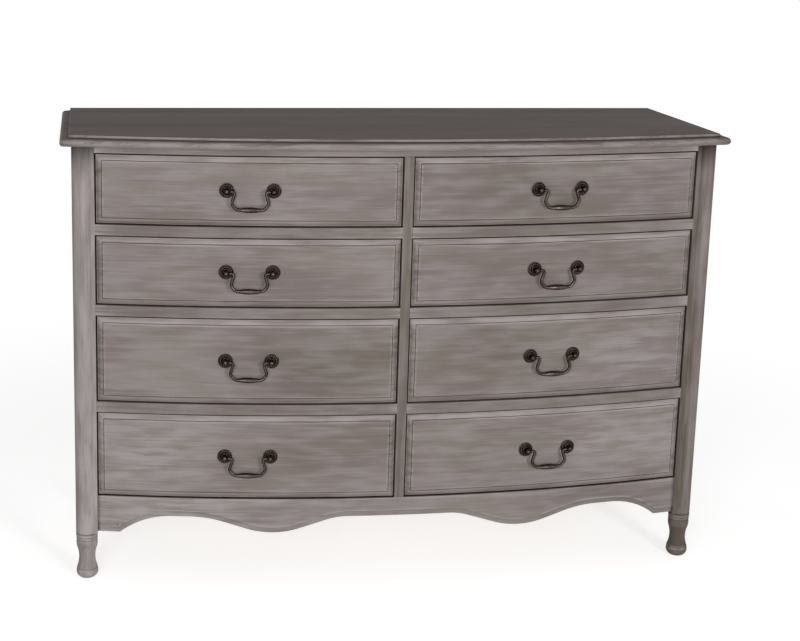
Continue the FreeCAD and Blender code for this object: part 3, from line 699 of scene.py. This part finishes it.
# Apron: corners of the lower edge of the right half, from the middle out, with their rounds
APRON_END = 0.1145
APRON_CORNERS = (
    ((0.141, 0.157), 0.15), ((0.285, 0.11), 0.198), ((0.432, 0.156), 0.267), ((0.574, 0.156), 0.178),
    ((0.626, APRON_END), 0))
APRON_CHALK, APRON_FADE = 0.65, 0.5  # chalk on its left part, full this far left of the middle
APRON_STEP, APRON_SPREAD = 7 * MM, 12 * MM  # between points on its rounds, and on its straight stretches

# Across the apron from its lower edge: (offset from the edge, setback, wear, glaze and painted shade)
APRON_BAND = (
    (0, 20, 0, 0.3), (0, 3.4, 0, 0.3), (0.35, 2.4, 0.4, 0.1), (1.3, 2, 0.2, 0), (4, 2, 0, 0),
    (10.8, 2, 0, 0.1), (11.8, 1.9, 0, 0.4), (12.1, 0.6, 0.5, 0.1), (12.6, 0.08, 1, 0), (13.9, 0, 0.8, 0),
    (15.5, 0, 0.1, 0))

# Along its upper edge: (drop from the edge, setback, wear)
APRON_HEAD = ((1.4, 0, 0.5), (0.4, 0.4, 0.7), (0, 1.4, 0), (0, 20, 0))


def make_apron():
    """Scalloped board with a lip along its lower edge, chalkier towards its left end."""
    shell = Shell(lambda place: (APRON_CHALK * clamp(-place[0] / APRON_FADE), 0), "apron")
    low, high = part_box("apron")
    right = [*APRON_CORNERS, ((high.x, APRON_END), 0)]
    left = [((-x, z), radius) for (x, z), radius in reversed(right)]
    points = spread(rounded_points(left + right, APRON_STEP), APRON_SPREAD)
    rings = []
    for point, normal in zip(points, inward_normals(points)):
        ring = []
        for offset, setback, wear, glaze in APRON_BAND:
            spot = point + normal * offset * MM
            ring.append(shell.point((spot.x, bow_y(spot.x, setback * MM), spot.y), wear, glaze))
        head = Vector((point.x, high.z))
        for share in (0.25, 0.5, 0.75):
            face = spot.lerp(head, share)
            ring.append(shell.point((face.x, bow_y(face.x), face.y)))
        for drop, setback, wear in APRON_HEAD:
            ring.append(shell.point((head.x, bow_y(head.x, setback * MM), head.y - drop * MM), wear))
        rings.append(ring)
    shell.skin(rings)
    return shell.object("scalloped_apron", "grey_wash_across")


# Posts
COLUMN_RADIUS = 24.5 * MM
LAND_SETBACK = 4.5 * MM
LAND_EDGE = 0.8 * MM  # round of a land's edge
# The land darkens towards the round column with glaze and painted shade in the corner.
LAND_QUIRK = 1.5 * MM  # darker strip beside the round column
POST_EASE = 0.7 * MM  # of a post's lower edge, over its foot
REAR_POST_WIDTH = 44.5 * MM
REAR_EDGE = 1 * MM  # round of its corners

# Bun, cove and collar beads of a turned foot, from the floor up: ((inset from the column, height), wear,
# glaze and painted shade in the grooves), and for a curve the point halfway that it passes and its steps
FOOT = (
    ((9.5, 0), 0, 0.3), ((0, 16), 0.15, 0, (1.9, 7.04), 6), ((1.2, 21.5), 0.5, 0, (0.3, 18.75), 3),
    ((2.2, 22.4), 0, 1), ((1, 23.3), 0.5, 0.2), ((1.7, 74), 0, 0, (6.1, 48), 12),
    ((1, 91), 0.12, 0, (0.5, 82.5), 5), ((2.2, 91.9), 0, 1), ((2.2, 96.9), 0.4, 0, (0.3, 94.4), 5),
    ((2.2, 97.8), 0, 1), ((0.1, 99.4), 0.5, 0.1), ((0, 100.4), 0.4, 0), ((0, 108), 0, 0))
POST_START = FOOT[-1][0][1] * MM


def add_foot(shell, x, y, radius):
    """Turned foot of a column with this radius."""
    def at(inset, z):
        return radius - inset * MM, z * MM

    profile, start = [], None
    for end, wear, glaze, *curve in FOOT:
        spots = arc_through(at(*start), at(*curve[0]), at(*end), curve[1]) if curve else [at(*end)]
        profile += [(*spot, wear, glaze) for spot in spots]
        start = end
    turned(shell, profile, lambda u, v, h: (x + u, y + v, h))


def add_leg(shell, outline, centre, top):
    """Straight part of a post over its foot, its lower edge eased."""
    heights = [(POST_START, POST_EASE), (POST_START + POST_EASE, 0)]
    heights += [(top * k / 12, 0) for k in range(2, 12)] + [(top, 0)]
    shell.skin([[shell.point((*(spot + (centre - spot).normalized() * inset), z), wear, glaze)
                 for spot, wear, glaze in outline] for z, inset in heights])


def column_outline(sign, low, high):
    """Three-quarter column with a flat land on its inner and its rear side: (place, wear, glaze and painted
    shade).
    """
    axis = Vector((high.x - COLUMN_RADIUS if sign > 0 else low.x + COLUMN_RADIUS, low.y + COLUMN_RADIUS))
    flat = COLUMN_RADIUS - LAND_SETBACK
    land = math.sqrt(COLUMN_RADIUS ** 2 - flat ** 2)
    corner = COLUMN_RADIUS * math.sqrt(0.5)
    rear = rail_back - axis.y

    def at(outwards, back, wear=0, glaze=0):
        return Vector((axis.x + sign * outwards, axis.y + back)), wear, glaze

    def beside(across, back, wear, glaze):
        """Near the inner edge of the front land, in rounds of that edge."""
        return at(across * LAND_EDGE - COLUMN_RADIUS, back * LAND_EDGE - flat, wear, glaze)

    start, end = at(-land, -flat, 0, 0.2), at(flat, land)
    curve = arc_through(start[0], at(corner, -corner)[0], end[0], 30)
    return [at(-COLUMN_RADIUS, rear), beside(0, 4, 0, 0.4), beside(0, 1, 0, 0.4), beside(0.3, 0.3, 0.1, 0.2),
            beside(1, 0, 0.1, 0), at(-land - LAND_QUIRK, -flat, 0, 0.05), start,
            *[(Vector(spot), 0.1, 0) for spot in curve[:-1]], (Vector(curve[-1]), 0, 0.4),
            at(flat, land + LAND_QUIRK, 0, 0.15), at(flat, rear, 0, 0.2)], axis


def wash_on_post(side, axis):
    """The wash down a front post: paler and paler on the left one, brown on the right one's inner side,
    partly stain and partly painted shade.
    """
    def tint(place):
        x, _, z = place
        low = clamp((0.45 - z) / 0.3)
        foot = clamp((0.104 - z) / 0.006)
        if side == "left":
            bare = clamp(1 - math.hypot(x - axis.x + 5 * MM, z - 80 * MM) / (17 * MM))
            return (0.5 + 0.46 * low + 0.04 * foot) * (1 - bare), 0.9 * bare
        # The right post's inner side: stain and painted shade where it turns away from the key lamp.
        inner = clamp((axis.x + 2 * MM - x) / (9 * MM))
        return 0.12 * low * (1 - inner) * (1 - foot), 0.22 + 0.4 * low + 0.78 * inner + 0.75 * foot
    return tint


# Paler and darker patches over the drawers, the paler ones mostly at the outer ends and the darker ones
# mostly in the middle: (x, z, reach along x, chalk, stain)
WASH_PATCHES = (
    (-0.58, 0.3, 0.34, 0.52, 0), (0.26, 0.28, 0.22, 0, 0.26), (0.55, 0.3, 0.3, 0.48, 0),
    (0.55, 0.52, 0.3, 0.4, 0), (-0.18, 0.51, 0.34, 0, 0.62), (0.2, 0.53, 0.3, 0, 0.44),
    (-0.14, 0.3, 0.3, 0, 0.2), (-0.3, 0.9, 0.26, 0.14, 0), (0.2, 0.9, 0.3, 0, 0.42))


def wash_on_front(place):
    """The drawers are paler low down and browner high on the right, with paler and darker patches."""
    x, _, z = place
    chalk = 0.06 * clamp((0.55 - z) / 0.4)
    stain = 0.14 * clamp((z - 0.4) / 0.4) * clamp((x + 0.3) / 0.5)
    for across, up, reach, thick, thin in WASH_PATCHES:
        away = math.hypot(x - across, 2.2 * (z - up)) / reach
        share = 0.5 + 0.5 * math.cos(math.pi * clamp(away))
        chalk += thick * share
        stain += thin * share
    return chalk, stain


def make_front_post(side):
    low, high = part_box(f"front_post_{side}")
    outline, axis = column_outline(1 if side == "right" else -1, low, high)
    shell = Shell(wash_on_post(side, axis), f"front_post_{side}")
    add_leg(shell, outline, axis, high.z)
    add_foot(shell, axis.x, axis.y, COLUMN_RADIUS)
    return shell.object(f"turned_post_front_{side}", "grey_wash_upright")


def make_rear_post(side):
    low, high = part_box(f"rear_post_{side}")
    centre = ((low + high) / 2).xy
    half = REAR_POST_WIDTH / 2
    outline = []
    eased = ((0, 1, 0.3), (0.3, 0.3, 0.7), (1, 0, 0.3))
    for sx, sy in ((1, 1), (-1, 1), (-1, -1), (1, -1)):
        corner = centre + Vector((sx * half, sy * half))
        for x, y, wear in eased if sx == sy else reversed(eased):
            outline.append((corner - Vector((sx * x, sy * y)) * REAR_EDGE, wear, 0))
    shell = Shell()
    add_leg(shell, outline, centre, high.z)
    add_foot(shell, centre.x, centre.y, half)
    return shell.object(f"turned_post_rear_{side}", "grey_wash_upright")


# Sides: (inset, rise from the panel's inner face, wear, glaze and painted shade)
PANEL_PROFILE = (
    (0, 0, 0, 0), (0, 8, 0, 0.9), (0.8, 8.1, 0, 0.6), (4, 8.6, 0, 0.15), (12, 9.7, 0, 0), (26, 11.7, 0, 0),
    (38, 13, 0, 0.15), (40.2, 12.9, 0, 0.8), (41.4, 12.9, 0, 1), (42, 13.9, 0.6, 0.1), (42.6, 14, 0.9, 0),
    (46, 14, 0, 0))


def make_side_panel(side):
    low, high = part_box(f"side_panel_{side}")
    inner, outwards = (low.x, 1) if side == "right" else (high.x, -1)
    shell = Shell()

    def make(s, t, inset, rise, wear, glaze):
        y, z = drawn_in(low.y, high.y, inset * MM, s), drawn_in(low.z, high.z, inset * MM, t)
        return shell.point((inner + outwards * rise * MM, y, z), wear, glaze)

    layered(shell, PANEL_PROFILE, 10, 16, make)
    return shell.object(f"raised_side_panel_{side}", "grey_wash_upright")


# Moulded margin of a drawer front: its lip, and the hollow bevel that rises from there, in millimetres
LIP_DEPTH, BEVEL_TOP, BEVEL_BULGE, LIP_WIDTH, MARGIN_WIDTH = 4.5, 0.8, 0.8, 2, 11.6


def margin_profile():
    """Across the margin from its outer edge: (inset, setback, wear, glaze and painted shade, stain)."""
    # The lip's faces in the gap and the quirk round the field take glaze and painted shade.
    points = [(0, 20, 0, 0.2, 0), (0, 9, 0, 0.4, 0.4), (0, 5.6, 0, 0.3, 0.5),
              (0.25, 4.85, 0.1, 0.1, 0.4), (0.85, 4.5, 0.3, 0, 0.4), (1.6, 4.5, 0.2, 0.05, 0.5),
              (2, 4.5, 0, 0.3, 0.7)]
    for share in (0.06, 0.16, 0.32, 0.5, 0.68, 0.84, 0.95):
        inset = LIP_WIDTH + (MARGIN_WIDTH - LIP_WIDTH) * share
        setback = LIP_DEPTH + (BEVEL_TOP - LIP_DEPTH) * share - 4 * BEVEL_BULGE * share * (1 - share)
        points.append((inset, setback, 0.25 * share, 0.2 * max(0, 0.4 - share), 0.75 - 0.3 * share))
    points += [(11.6, 0.9, 0, 0.3, 0.4), (11.8, 1.5, 0, 0.65, 0.4), (12.05, 2.15, 0, 0.8, 0.4),
               (12.6, 2.15, 0, 0.8, 0.4), (12.85, 1.3, 0, 0.5, 0.2), (13, 0.4, 0.5, 0.05, 0),
               (13.4, 0.06, 0.55, 0, 0), (14.6, 0, 0.25, 0, 0), (18, 0, 0, 0, 0)]
    return points


def make_drawer_front(tag):
    """Moulded front, whose margin is browner at its upright ends and somewhat along its lower edge, partly
    stain and partly painted shade, and pale along its top, a painted highlight where the bevel faces up.
    """
    low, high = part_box(f"drawer_front_{tag}")
    shell = Shell(wash_on_front, f"drawer_front_{tag}")

    def make(s, t, inset, setback, wear, glaze, stain):
        x, z = drawn_in(low.x, high.x, inset * MM, s), drawn_in(low.z, high.z, inset * MM, t)
        upright, above = s in (0, 1), t == 1
        # The side and lower margins are browner, partly stain and partly painted shade; the upper margin is
        # paler, with more wear and chalk as a painted highlight where the bevel faces up.
        brown = stain * (0.95 if upright else 0.1 if above else 0.5)
        pale = clamp(wear * (1.4 if upright else 1.9 if above else 0.8))
        chalk = 1.1 * stain if above else 0
        return shell.point((x, bow_y(x, setback * MM), z), pale, glaze, chalk=chalk, stain=brown)

    layered(shell, margin_profile(), 40, 10, make)
    return shell.object(f"moulded_front_{tag}", "grey_wash_across")


# Pulls, in their own axes in millimetres: x along the front, y into the wood, z up from the pivot
HOLE_SPACING = 101.6
PIVOT_OFFSET = 15
PULL_RAISE = 3
KNOB_RADIUS = 6.5
KNOB_STEPS = 12
ROD_RADIUS = 3.5
ROD_SIDES = 20
GRIP_RADIUS = 6
GRIP_HALF = 23.2
GRIP_TOP = -30  # the grip hangs below this height, and its painted highlight, partly real rubbing, is a little brighter
FRONT_THICKNESS = 20

# Rosette, neck and knob: (radius, height out of the wood, wear, glaze)
POST_PROFILE = (
    (16.5, -0.2, 0, 0.5), (16.5, 0.8, 0, 0.4), (16.35, 1.4, 0.3, 0), (15.8, 1.9, 0.5, 0),
    (14.9, 2, 0.2, 0.2), (14.4, 1.6, 0, 0.8), (13.9, 1.4, 0, 1), (13.4, 1.9, 0, 0.5), (12.7, 2.7, 0.2, 0.1),
    (11.5, 3.4, 0.5, 0), (10.2, 2.9, 0.2, 0.2), (9.3, 2.2, 0, 0.7), (8.6, 1.8, 0, 1), (7.9, 1.9, 0, 0.8),
    (6.8, 2.3, 0.1, 0.4), (5.8, 3, 0.1, 0.3), (5, 3.9, 0.1, 0.4), (4.4, 5.2, 0, 0.5), (4.2, 6, 0, 0.5),
    (4.2, 9.6, 0, 0.7))
PETAL_RINGS = {8: 0.6, 9: 1, 10: 0.9, 11: 0.5}


def pull_frame(tag):
    """Matrix from a pull's own axes, in millimetres, to its place on its drawer."""
    low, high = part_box(f"drawer_front_{tag}")
    x = (low.x + high.x) / 2
    place = Vector((x, bow_y(x), (low.z + high.z) / 2 + PULL_RAISE * MM))
    turn = math.asin(x / bow_radius)
    return Matrix.Translation(place) @ Matrix.Rotation(turn, 4, "Z") @ Matrix.Scale(MM, 4)


# Screw head inside the drawer: (radius, rise from its seat, wear, glaze)
SCREW_HEAD = (
    (4, 0, 0.2, 0.2), (4, 0.8, 0.6, 0), (3.6, 1.6, 0.5, 0), (2.6, 2.2, 0.4, 0), (1.3, 2.5, 0.4, 0),
    (1.1, 1.6, 0, 1), (0.4, 1.5, 0, 1))


def make_pull_posts(tag):
    """Rosettes with their knobs, and the heads of the screws that hold them from inside."""
    pull = bpy.context.scene.dresser_pull
    to_place = pull_frame(tag)
    shell = Shell()
    profile = list(POST_PROFILE)
    start = math.pi - math.asin(POST_PROFILE[-1][0] / KNOB_RADIUS)
    for i in range(1, KNOB_STEPS):
        angle = start * (1 - i / KNOB_STEPS)
        front = clamp(math.cos(angle))
        out = PIVOT_OFFSET + KNOB_RADIUS * math.cos(angle)
        # The knob's front takes a small painted highlight, partly real rubbing, and its back dark patina.
        profile.append((KNOB_RADIUS * math.sin(angle), out, 0.6 * front ** 8, 0.3 * (1 - front)))

    def petals(angle, index):
        share = PETAL_RINGS.get(index, 0)
        groove = 0.5 - 0.5 * math.cos(pull.petals * angle)
        return -pull.petal_depth / MM * share * groove ** 3, 0.9 * share * groove ** 4

    screw_reach = HOLE_SPACING / 2 + SCREW_HEAD[0][0]
    seat = FRONT_THICKNESS + screw_reach ** 2 / (2 * (bow_radius / MM - FRONT_THICKNESS))
    head = [(radius, seat + rise, wear, glaze) for radius, rise, wear, glaze in SCREW_HEAD]
    for centre in (-HOLE_SPACING / 2, HOLE_SPACING / 2):
        turned(shell, profile, lambda u, v, h: to_place @ Vector((centre + u, -h, v)), 96, petals)
        turned(shell, head, lambda u, v, h: to_place @ Vector((centre + u, h, v)), 24)
    return shell.object(f"cast_rosettes_{tag}", "aged_bronze", flat=False)


# Bail: corners of its right half from the knob to the grip, with their rounds
BAIL_CORNERS = (((32, 0), 5.5), ((40.6, -26.5), 10), ((29.5, -40), 13))
GRIP_DROP = BAIL_CORNERS[-1][0][1]
GRIP_BAND = 1.5  # the grip's own stations lie this close to its lowest line
ROD_END = HOLE_SPACING / 2 - KNOB_RADIUS - 0.4
ROD_SHOULDER = 0.35  # from the rod's end to its full thickness
BAIL_STEP, BAIL_SPREAD = 1.2, 2  # between stations on its rounds, and on its straight stretches

# Pin in the knob, from its end: (reach beyond the rod's end, radius)
BAIL_PIN = ((4.9, 1.95), (0.1, 1.95), (0, 2.5))


def bail_radius(point):
    """The rod is even down to its shoulders, and swells along the grip."""
    if point.y > GRIP_DROP + GRIP_BAND or abs(point.x) > GRIP_HALF:
        return ROD_RADIUS
    return ROD_RADIUS + (GRIP_RADIUS - ROD_RADIUS) * (1 - (point.x / GRIP_HALF) ** 2)


def make_bail(tag):
    """Swan-neck bail: a pin in each knob, curled shoulders and a swelling grip."""
    to_place = pull_frame(tag)
    corners = [((ROD_END, 0), 0), *BAIL_CORNERS, ((0, GRIP_DROP), 0)]
    half = spread(rounded_points(corners, BAIL_STEP), BAIL_SPREAD)
    half[0] = Vector((ROD_END - ROD_SHOULDER, 0))
    right = [(Vector((ROD_END + reach, 0)), radius) for reach, radius in BAIL_PIN]
    right += [(spot, bail_radius(spot)) for spot in half]
    stations = right + [(Vector((-spot.x, spot.y)), radius) for spot, radius in reversed(right[:-1])]
    spots = [spot for spot, _ in stations]
    shell = Shell()
    rings = []
    for (spot, radius), before, after in zip(stations, spots[:1] + spots, spots[1:] + spots[-1:]):
        way = (after - before).normalized()
        across = Vector((-way.y, way.x))
        ring = []
        for angle in circle(ROD_SIDES):
            c, s = math.cos(angle) * radius, math.sin(angle) * radius
            place = Vector((spot.x + across.x * c, -PIVOT_OFFSET - s, spot.y + across.y * c))
            # A narrow painted highlight along the front of the rod, partly real rubbing, a little stronger on
            # the grip.
            rub_and_highlight = clamp(math.sin(angle)) ** 7 * (0.6 if spot.y < GRIP_TOP else 0.5)
            ring.append(shell.point(to_place @ place, rub_and_highlight))
        rings.append(ring)
    shell.skin(rings)
    return shell.object(f"cast_bail_{tag}", "aged_bronze", flat=False)


# Nails of the back panel, and a nail's head: (radius, rise from the panel, wear, glaze)
NAIL_SPACING = 115 * MM
NAIL_INSET = 12 * MM
NAIL_HEAD = ((2.2, -0.3, 0, 0.6), (2.2, -0.1, 0.3, 0.2), (1.6, 0, 0.6, 0), (0.5, 0, 0.4, 0))


def make_back_nails():
    """Small nails that hold the back panel to the rails."""
    low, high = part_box("back_panel")
    x0, x1, z0, z1 = low.x + NAIL_INSET, high.x - NAIL_INSET, low.z + NAIL_INSET, high.z - NAIL_INSET
    across, up = round((x1 - x0) / NAIL_SPACING), round((z1 - z0) / NAIL_SPACING)
    spots = [(x0 + (x1 - x0) * i / across, z) for i in range(across + 1) for z in (z0, z1)]
    spots += [(x, z0 + (z1 - z0) * i / up) for i in range(1, up) for x in (x0, x1, 0)]
    shell = Shell()
    head = [(radius * MM, rise * MM, wear, glaze) for radius, rise, wear, glaze in NAIL_HEAD]
    for x, z in spots:
        turned(shell, head, lambda u, v, h: (x + u, high.y + h, z + v), 12)
    return shell.object("back_panel_nails", "aged_bronze", flat=False)


# Stage
FOCAL_PIXELS = 1564
PICTURE_WIDTH, PICTURE_HEIGHT = 800, 641
SENSOR_WIDTH = 36  # in millimetres
LENS_CENTRE = (290, 250)  # where the lens axis meets the picture, in its pixels
EYE = Vector((-0.6927, -3.5409, 1.4905))
YAW, PITCH, ROLL = 0.1319, 0.213, -0.0166
KEY_LAMP = ((1.9, -5.2, 1.4), 1.1)  # place and size
FILL_LAMP = ((-1.6, -4.5, 1.5), 2.2)
LAMP_TARGET = Vector((0, 0, 0.5))
FLOOR_RADII = (0.5, 1.5, 3, 6, 12)


def make_camera():
    data = with_settings(
        bpy.data.cameras.new("photo_camera"), sensor_width=SENSOR_WIDTH, clip_end=100,
        lens=FOCAL_PIXELS / PICTURE_WIDTH * SENSOR_WIDTH,
        shift_x=(PICTURE_WIDTH / 2 - LENS_CENTRE[0]) / PICTURE_WIDTH,
        shift_y=(LENS_CENTRE[1] - PICTURE_HEIGHT / 2) / PICTURE_WIDTH)
    camera = add_object("photo_camera", data)
    turns = Matrix.Rotation(-YAW, 4, "Z") @ Matrix.Rotation(math.pi / 2 - PITCH, 4, "X")
    camera.matrix_world = Matrix.Translation(EYE) @ turns @ Matrix.Rotation(-ROLL, 4, "Z")
    bpy.context.scene.camera = camera


def make_lamp(name, place, size, power):
    """Soft round lamp that the camera doesn't see."""
    data = with_settings(bpy.data.lights.new(name, "AREA"), shape="DISK", size=size, energy=power)
    lamp = add_object(name, data)
    aim = LAMP_TARGET - Vector(place)
    lamp.matrix_world = Matrix.Translation(place) @ aim.to_track_quat("-Z", "Y").to_matrix().to_4x4()
    lamp.visible_camera = False


def make_world(ambient):
    """White background, whose light on the object is dimmer."""
    world = bpy.context.scene.world = bpy.data.worlds.new("studio")
    world.use_nodes = True
    nodes = Nodes(world.node_tree)
    background = nodes.tree.nodes["Background"]
    nodes.put(background.inputs["Color"], WHITE)
    inputs = {"Value": nodes.sees_background(), "To Min": ambient, "To Max": 1}
    nodes.put(background.inputs["Strength"], nodes.add("MapRange", inputs).outputs[0])


def make_floor():
    shell = Shell()
    shell.skin([[shell.point((radius * math.cos(a), radius * math.sin(a), 0)) for a in circle(64)]
                for radius in FLOOR_RADII], far_end=False)
    floor = shell.object("floor", "pale_floor", flat=False)


# Operators

class DresserOperator:
    """Builds one part of the dresser, or its stage."""

    bl_options = {"REGISTER", "UNDO"}

    def execute(self, context):
        self.build(context.scene)
        return {"FINISHED"}


class DRESSER_OT_case(DresserOperator, bpy.types.Operator):
    """Moulded top, posts on turned feet, bowed front frame, scalloped apron and panelled sides"""

    bl_idname = "dresser.case"
    bl_label = "Case"

    def build(self, scene):
        dress(make_top_board(), "case", "top_wood", "top_board")
        for side in SIDES:
            dress(make_front_post(side), "case", "washed_wood", f"front_post_{side}")
            dress(make_rear_post(side), "case", "washed_wood", f"rear_post_{side}")
        for make, node in ((make_divider_rails, "divider_rails"), (make_top_rail, "top_rail"),
                           (make_stile, "centre_stile"), (make_apron, "apron")):
            dress(make(), "case", "washed_wood", node)
        for side in SIDES:
            dress(make_side_panel(side), "case", "washed_wood", f"side_panel_{side}")
        repaint("side_rails", "grey_wash_along_side")


class DRESSER_OT_inside(DresserOperator, bpy.types.Operator):
    """Runners, guides, partition and back in bare wood, and the nails of the back"""

    bl_idname = "dresser.inside"
    bl_label = "Inside and Back"

    def build(self, scene):
        for node in ("centre_partition", "drawer_runners", "drawer_guides", "top_cleats", "case_bottom",
                     "back_rails", "bottom_rail"):
            repaint(node, "bare_case_wood")
        repaint("back_panel", "bare_back_wood")
        dress(make_back_nails(), "case", "antique_bronze")


class DRESSER_OT_drawers(DresserOperator, bpy.types.Operator):
    """Moulded fronts on bare wooden drawers, and their cast pulls with swan-neck bails"""

    bl_idname = "dresser.drawers"
    bl_label = "Drawers and Pulls"

    def build(self, scene):
        for tag in TAGS:
            dress(make_drawer_front(tag), f"drawer_{tag}", "washed_wood", f"drawer_front_{tag}")
            repaint(f"drawer_box_{tag}", "bare_drawer_wood")
            repaint(f"drawer_bottom_{tag}", "bare_drawer_wood", soften=False)
        for tag in TAGS:
            dress(make_pull_posts(tag), f"drawer_{tag}", "antique_bronze", f"pull_mounts_{tag}")
            dress(make_bail(tag), f"bail_{tag}", "antique_bronze", f"pull_bail_{tag}")


class DRESSER_OT_stage(DresserOperator, bpy.types.Operator):
    """Pale floor, soft studio light and the photograph's camera"""

    bl_idname = "dresser.stage"
    bl_label = "Stage"

    def build(self, scene):
        stage = scene.dresser_stage
        make_floor()
        make_world(stage.ambient)
        make_lamp("key_lamp", *KEY_LAMP, stage.key)
        make_lamp("fill_lamp", *FILL_LAMP, stage.fill)
        make_camera()
        scene.view_settings.view_transform = "Standard"


class DRESSER_PT_panel(bpy.types.Panel):
    """The dresser's pieces and finishes"""

    bl_label = "Bow-Front Dresser"
    bl_idname = "DRESSER_PT_panel"
    bl_space_type = "VIEW_3D"
    bl_region_type = "UI"
    bl_category = "Dresser"

    def draw(self, context):
        layout = self.layout
        for title, (attribute, group) in SETTINGS.items():
            box = layout.box()
            box.label(text=title)
            for name in group.__annotations__:
                box.prop(getattr(context.scene, attribute), name)
        column = layout.column(align=True)
        for operator in OPERATORS:
            column.operator(operator.bl_idname)


SETTINGS = {
    "Washed Wood": ("dresser_wood", WoodSettings),
    "Bare Wood": ("dresser_raw", RawWoodSettings),
    "Edges": ("dresser_edges", EdgeSettings),
    "Pulls": ("dresser_pull", PullSettings),
    "Stage": ("dresser_stage", StageSettings),
}
OPERATORS = (DRESSER_OT_case, DRESSER_OT_inside, DRESSER_OT_drawers, DRESSER_OT_stage)


def register():
    for attribute, group in SETTINGS.values():
        bpy.utils.register_class(group)
        setattr(bpy.types.Scene, attribute, PointerProperty(type=group))
    for shown in (*OPERATORS, DRESSER_PT_panel):
        bpy.utils.register_class(shown)


def unregister():
    for shown in (DRESSER_PT_panel, *reversed(OPERATORS)):
        bpy.utils.unregister_class(shown)
    for attribute, group in reversed(list(SETTINGS.values())):
        delattr(bpy.types.Scene, attribute)
        bpy.utils.unregister_class(group)


def main():
    register()
    bpy.ops.dresser.case()
    bpy.ops.dresser.inside()
    bpy.ops.dresser.drawers()
    bpy.ops.dresser.stage()


if __name__ == "__main__":
    main()
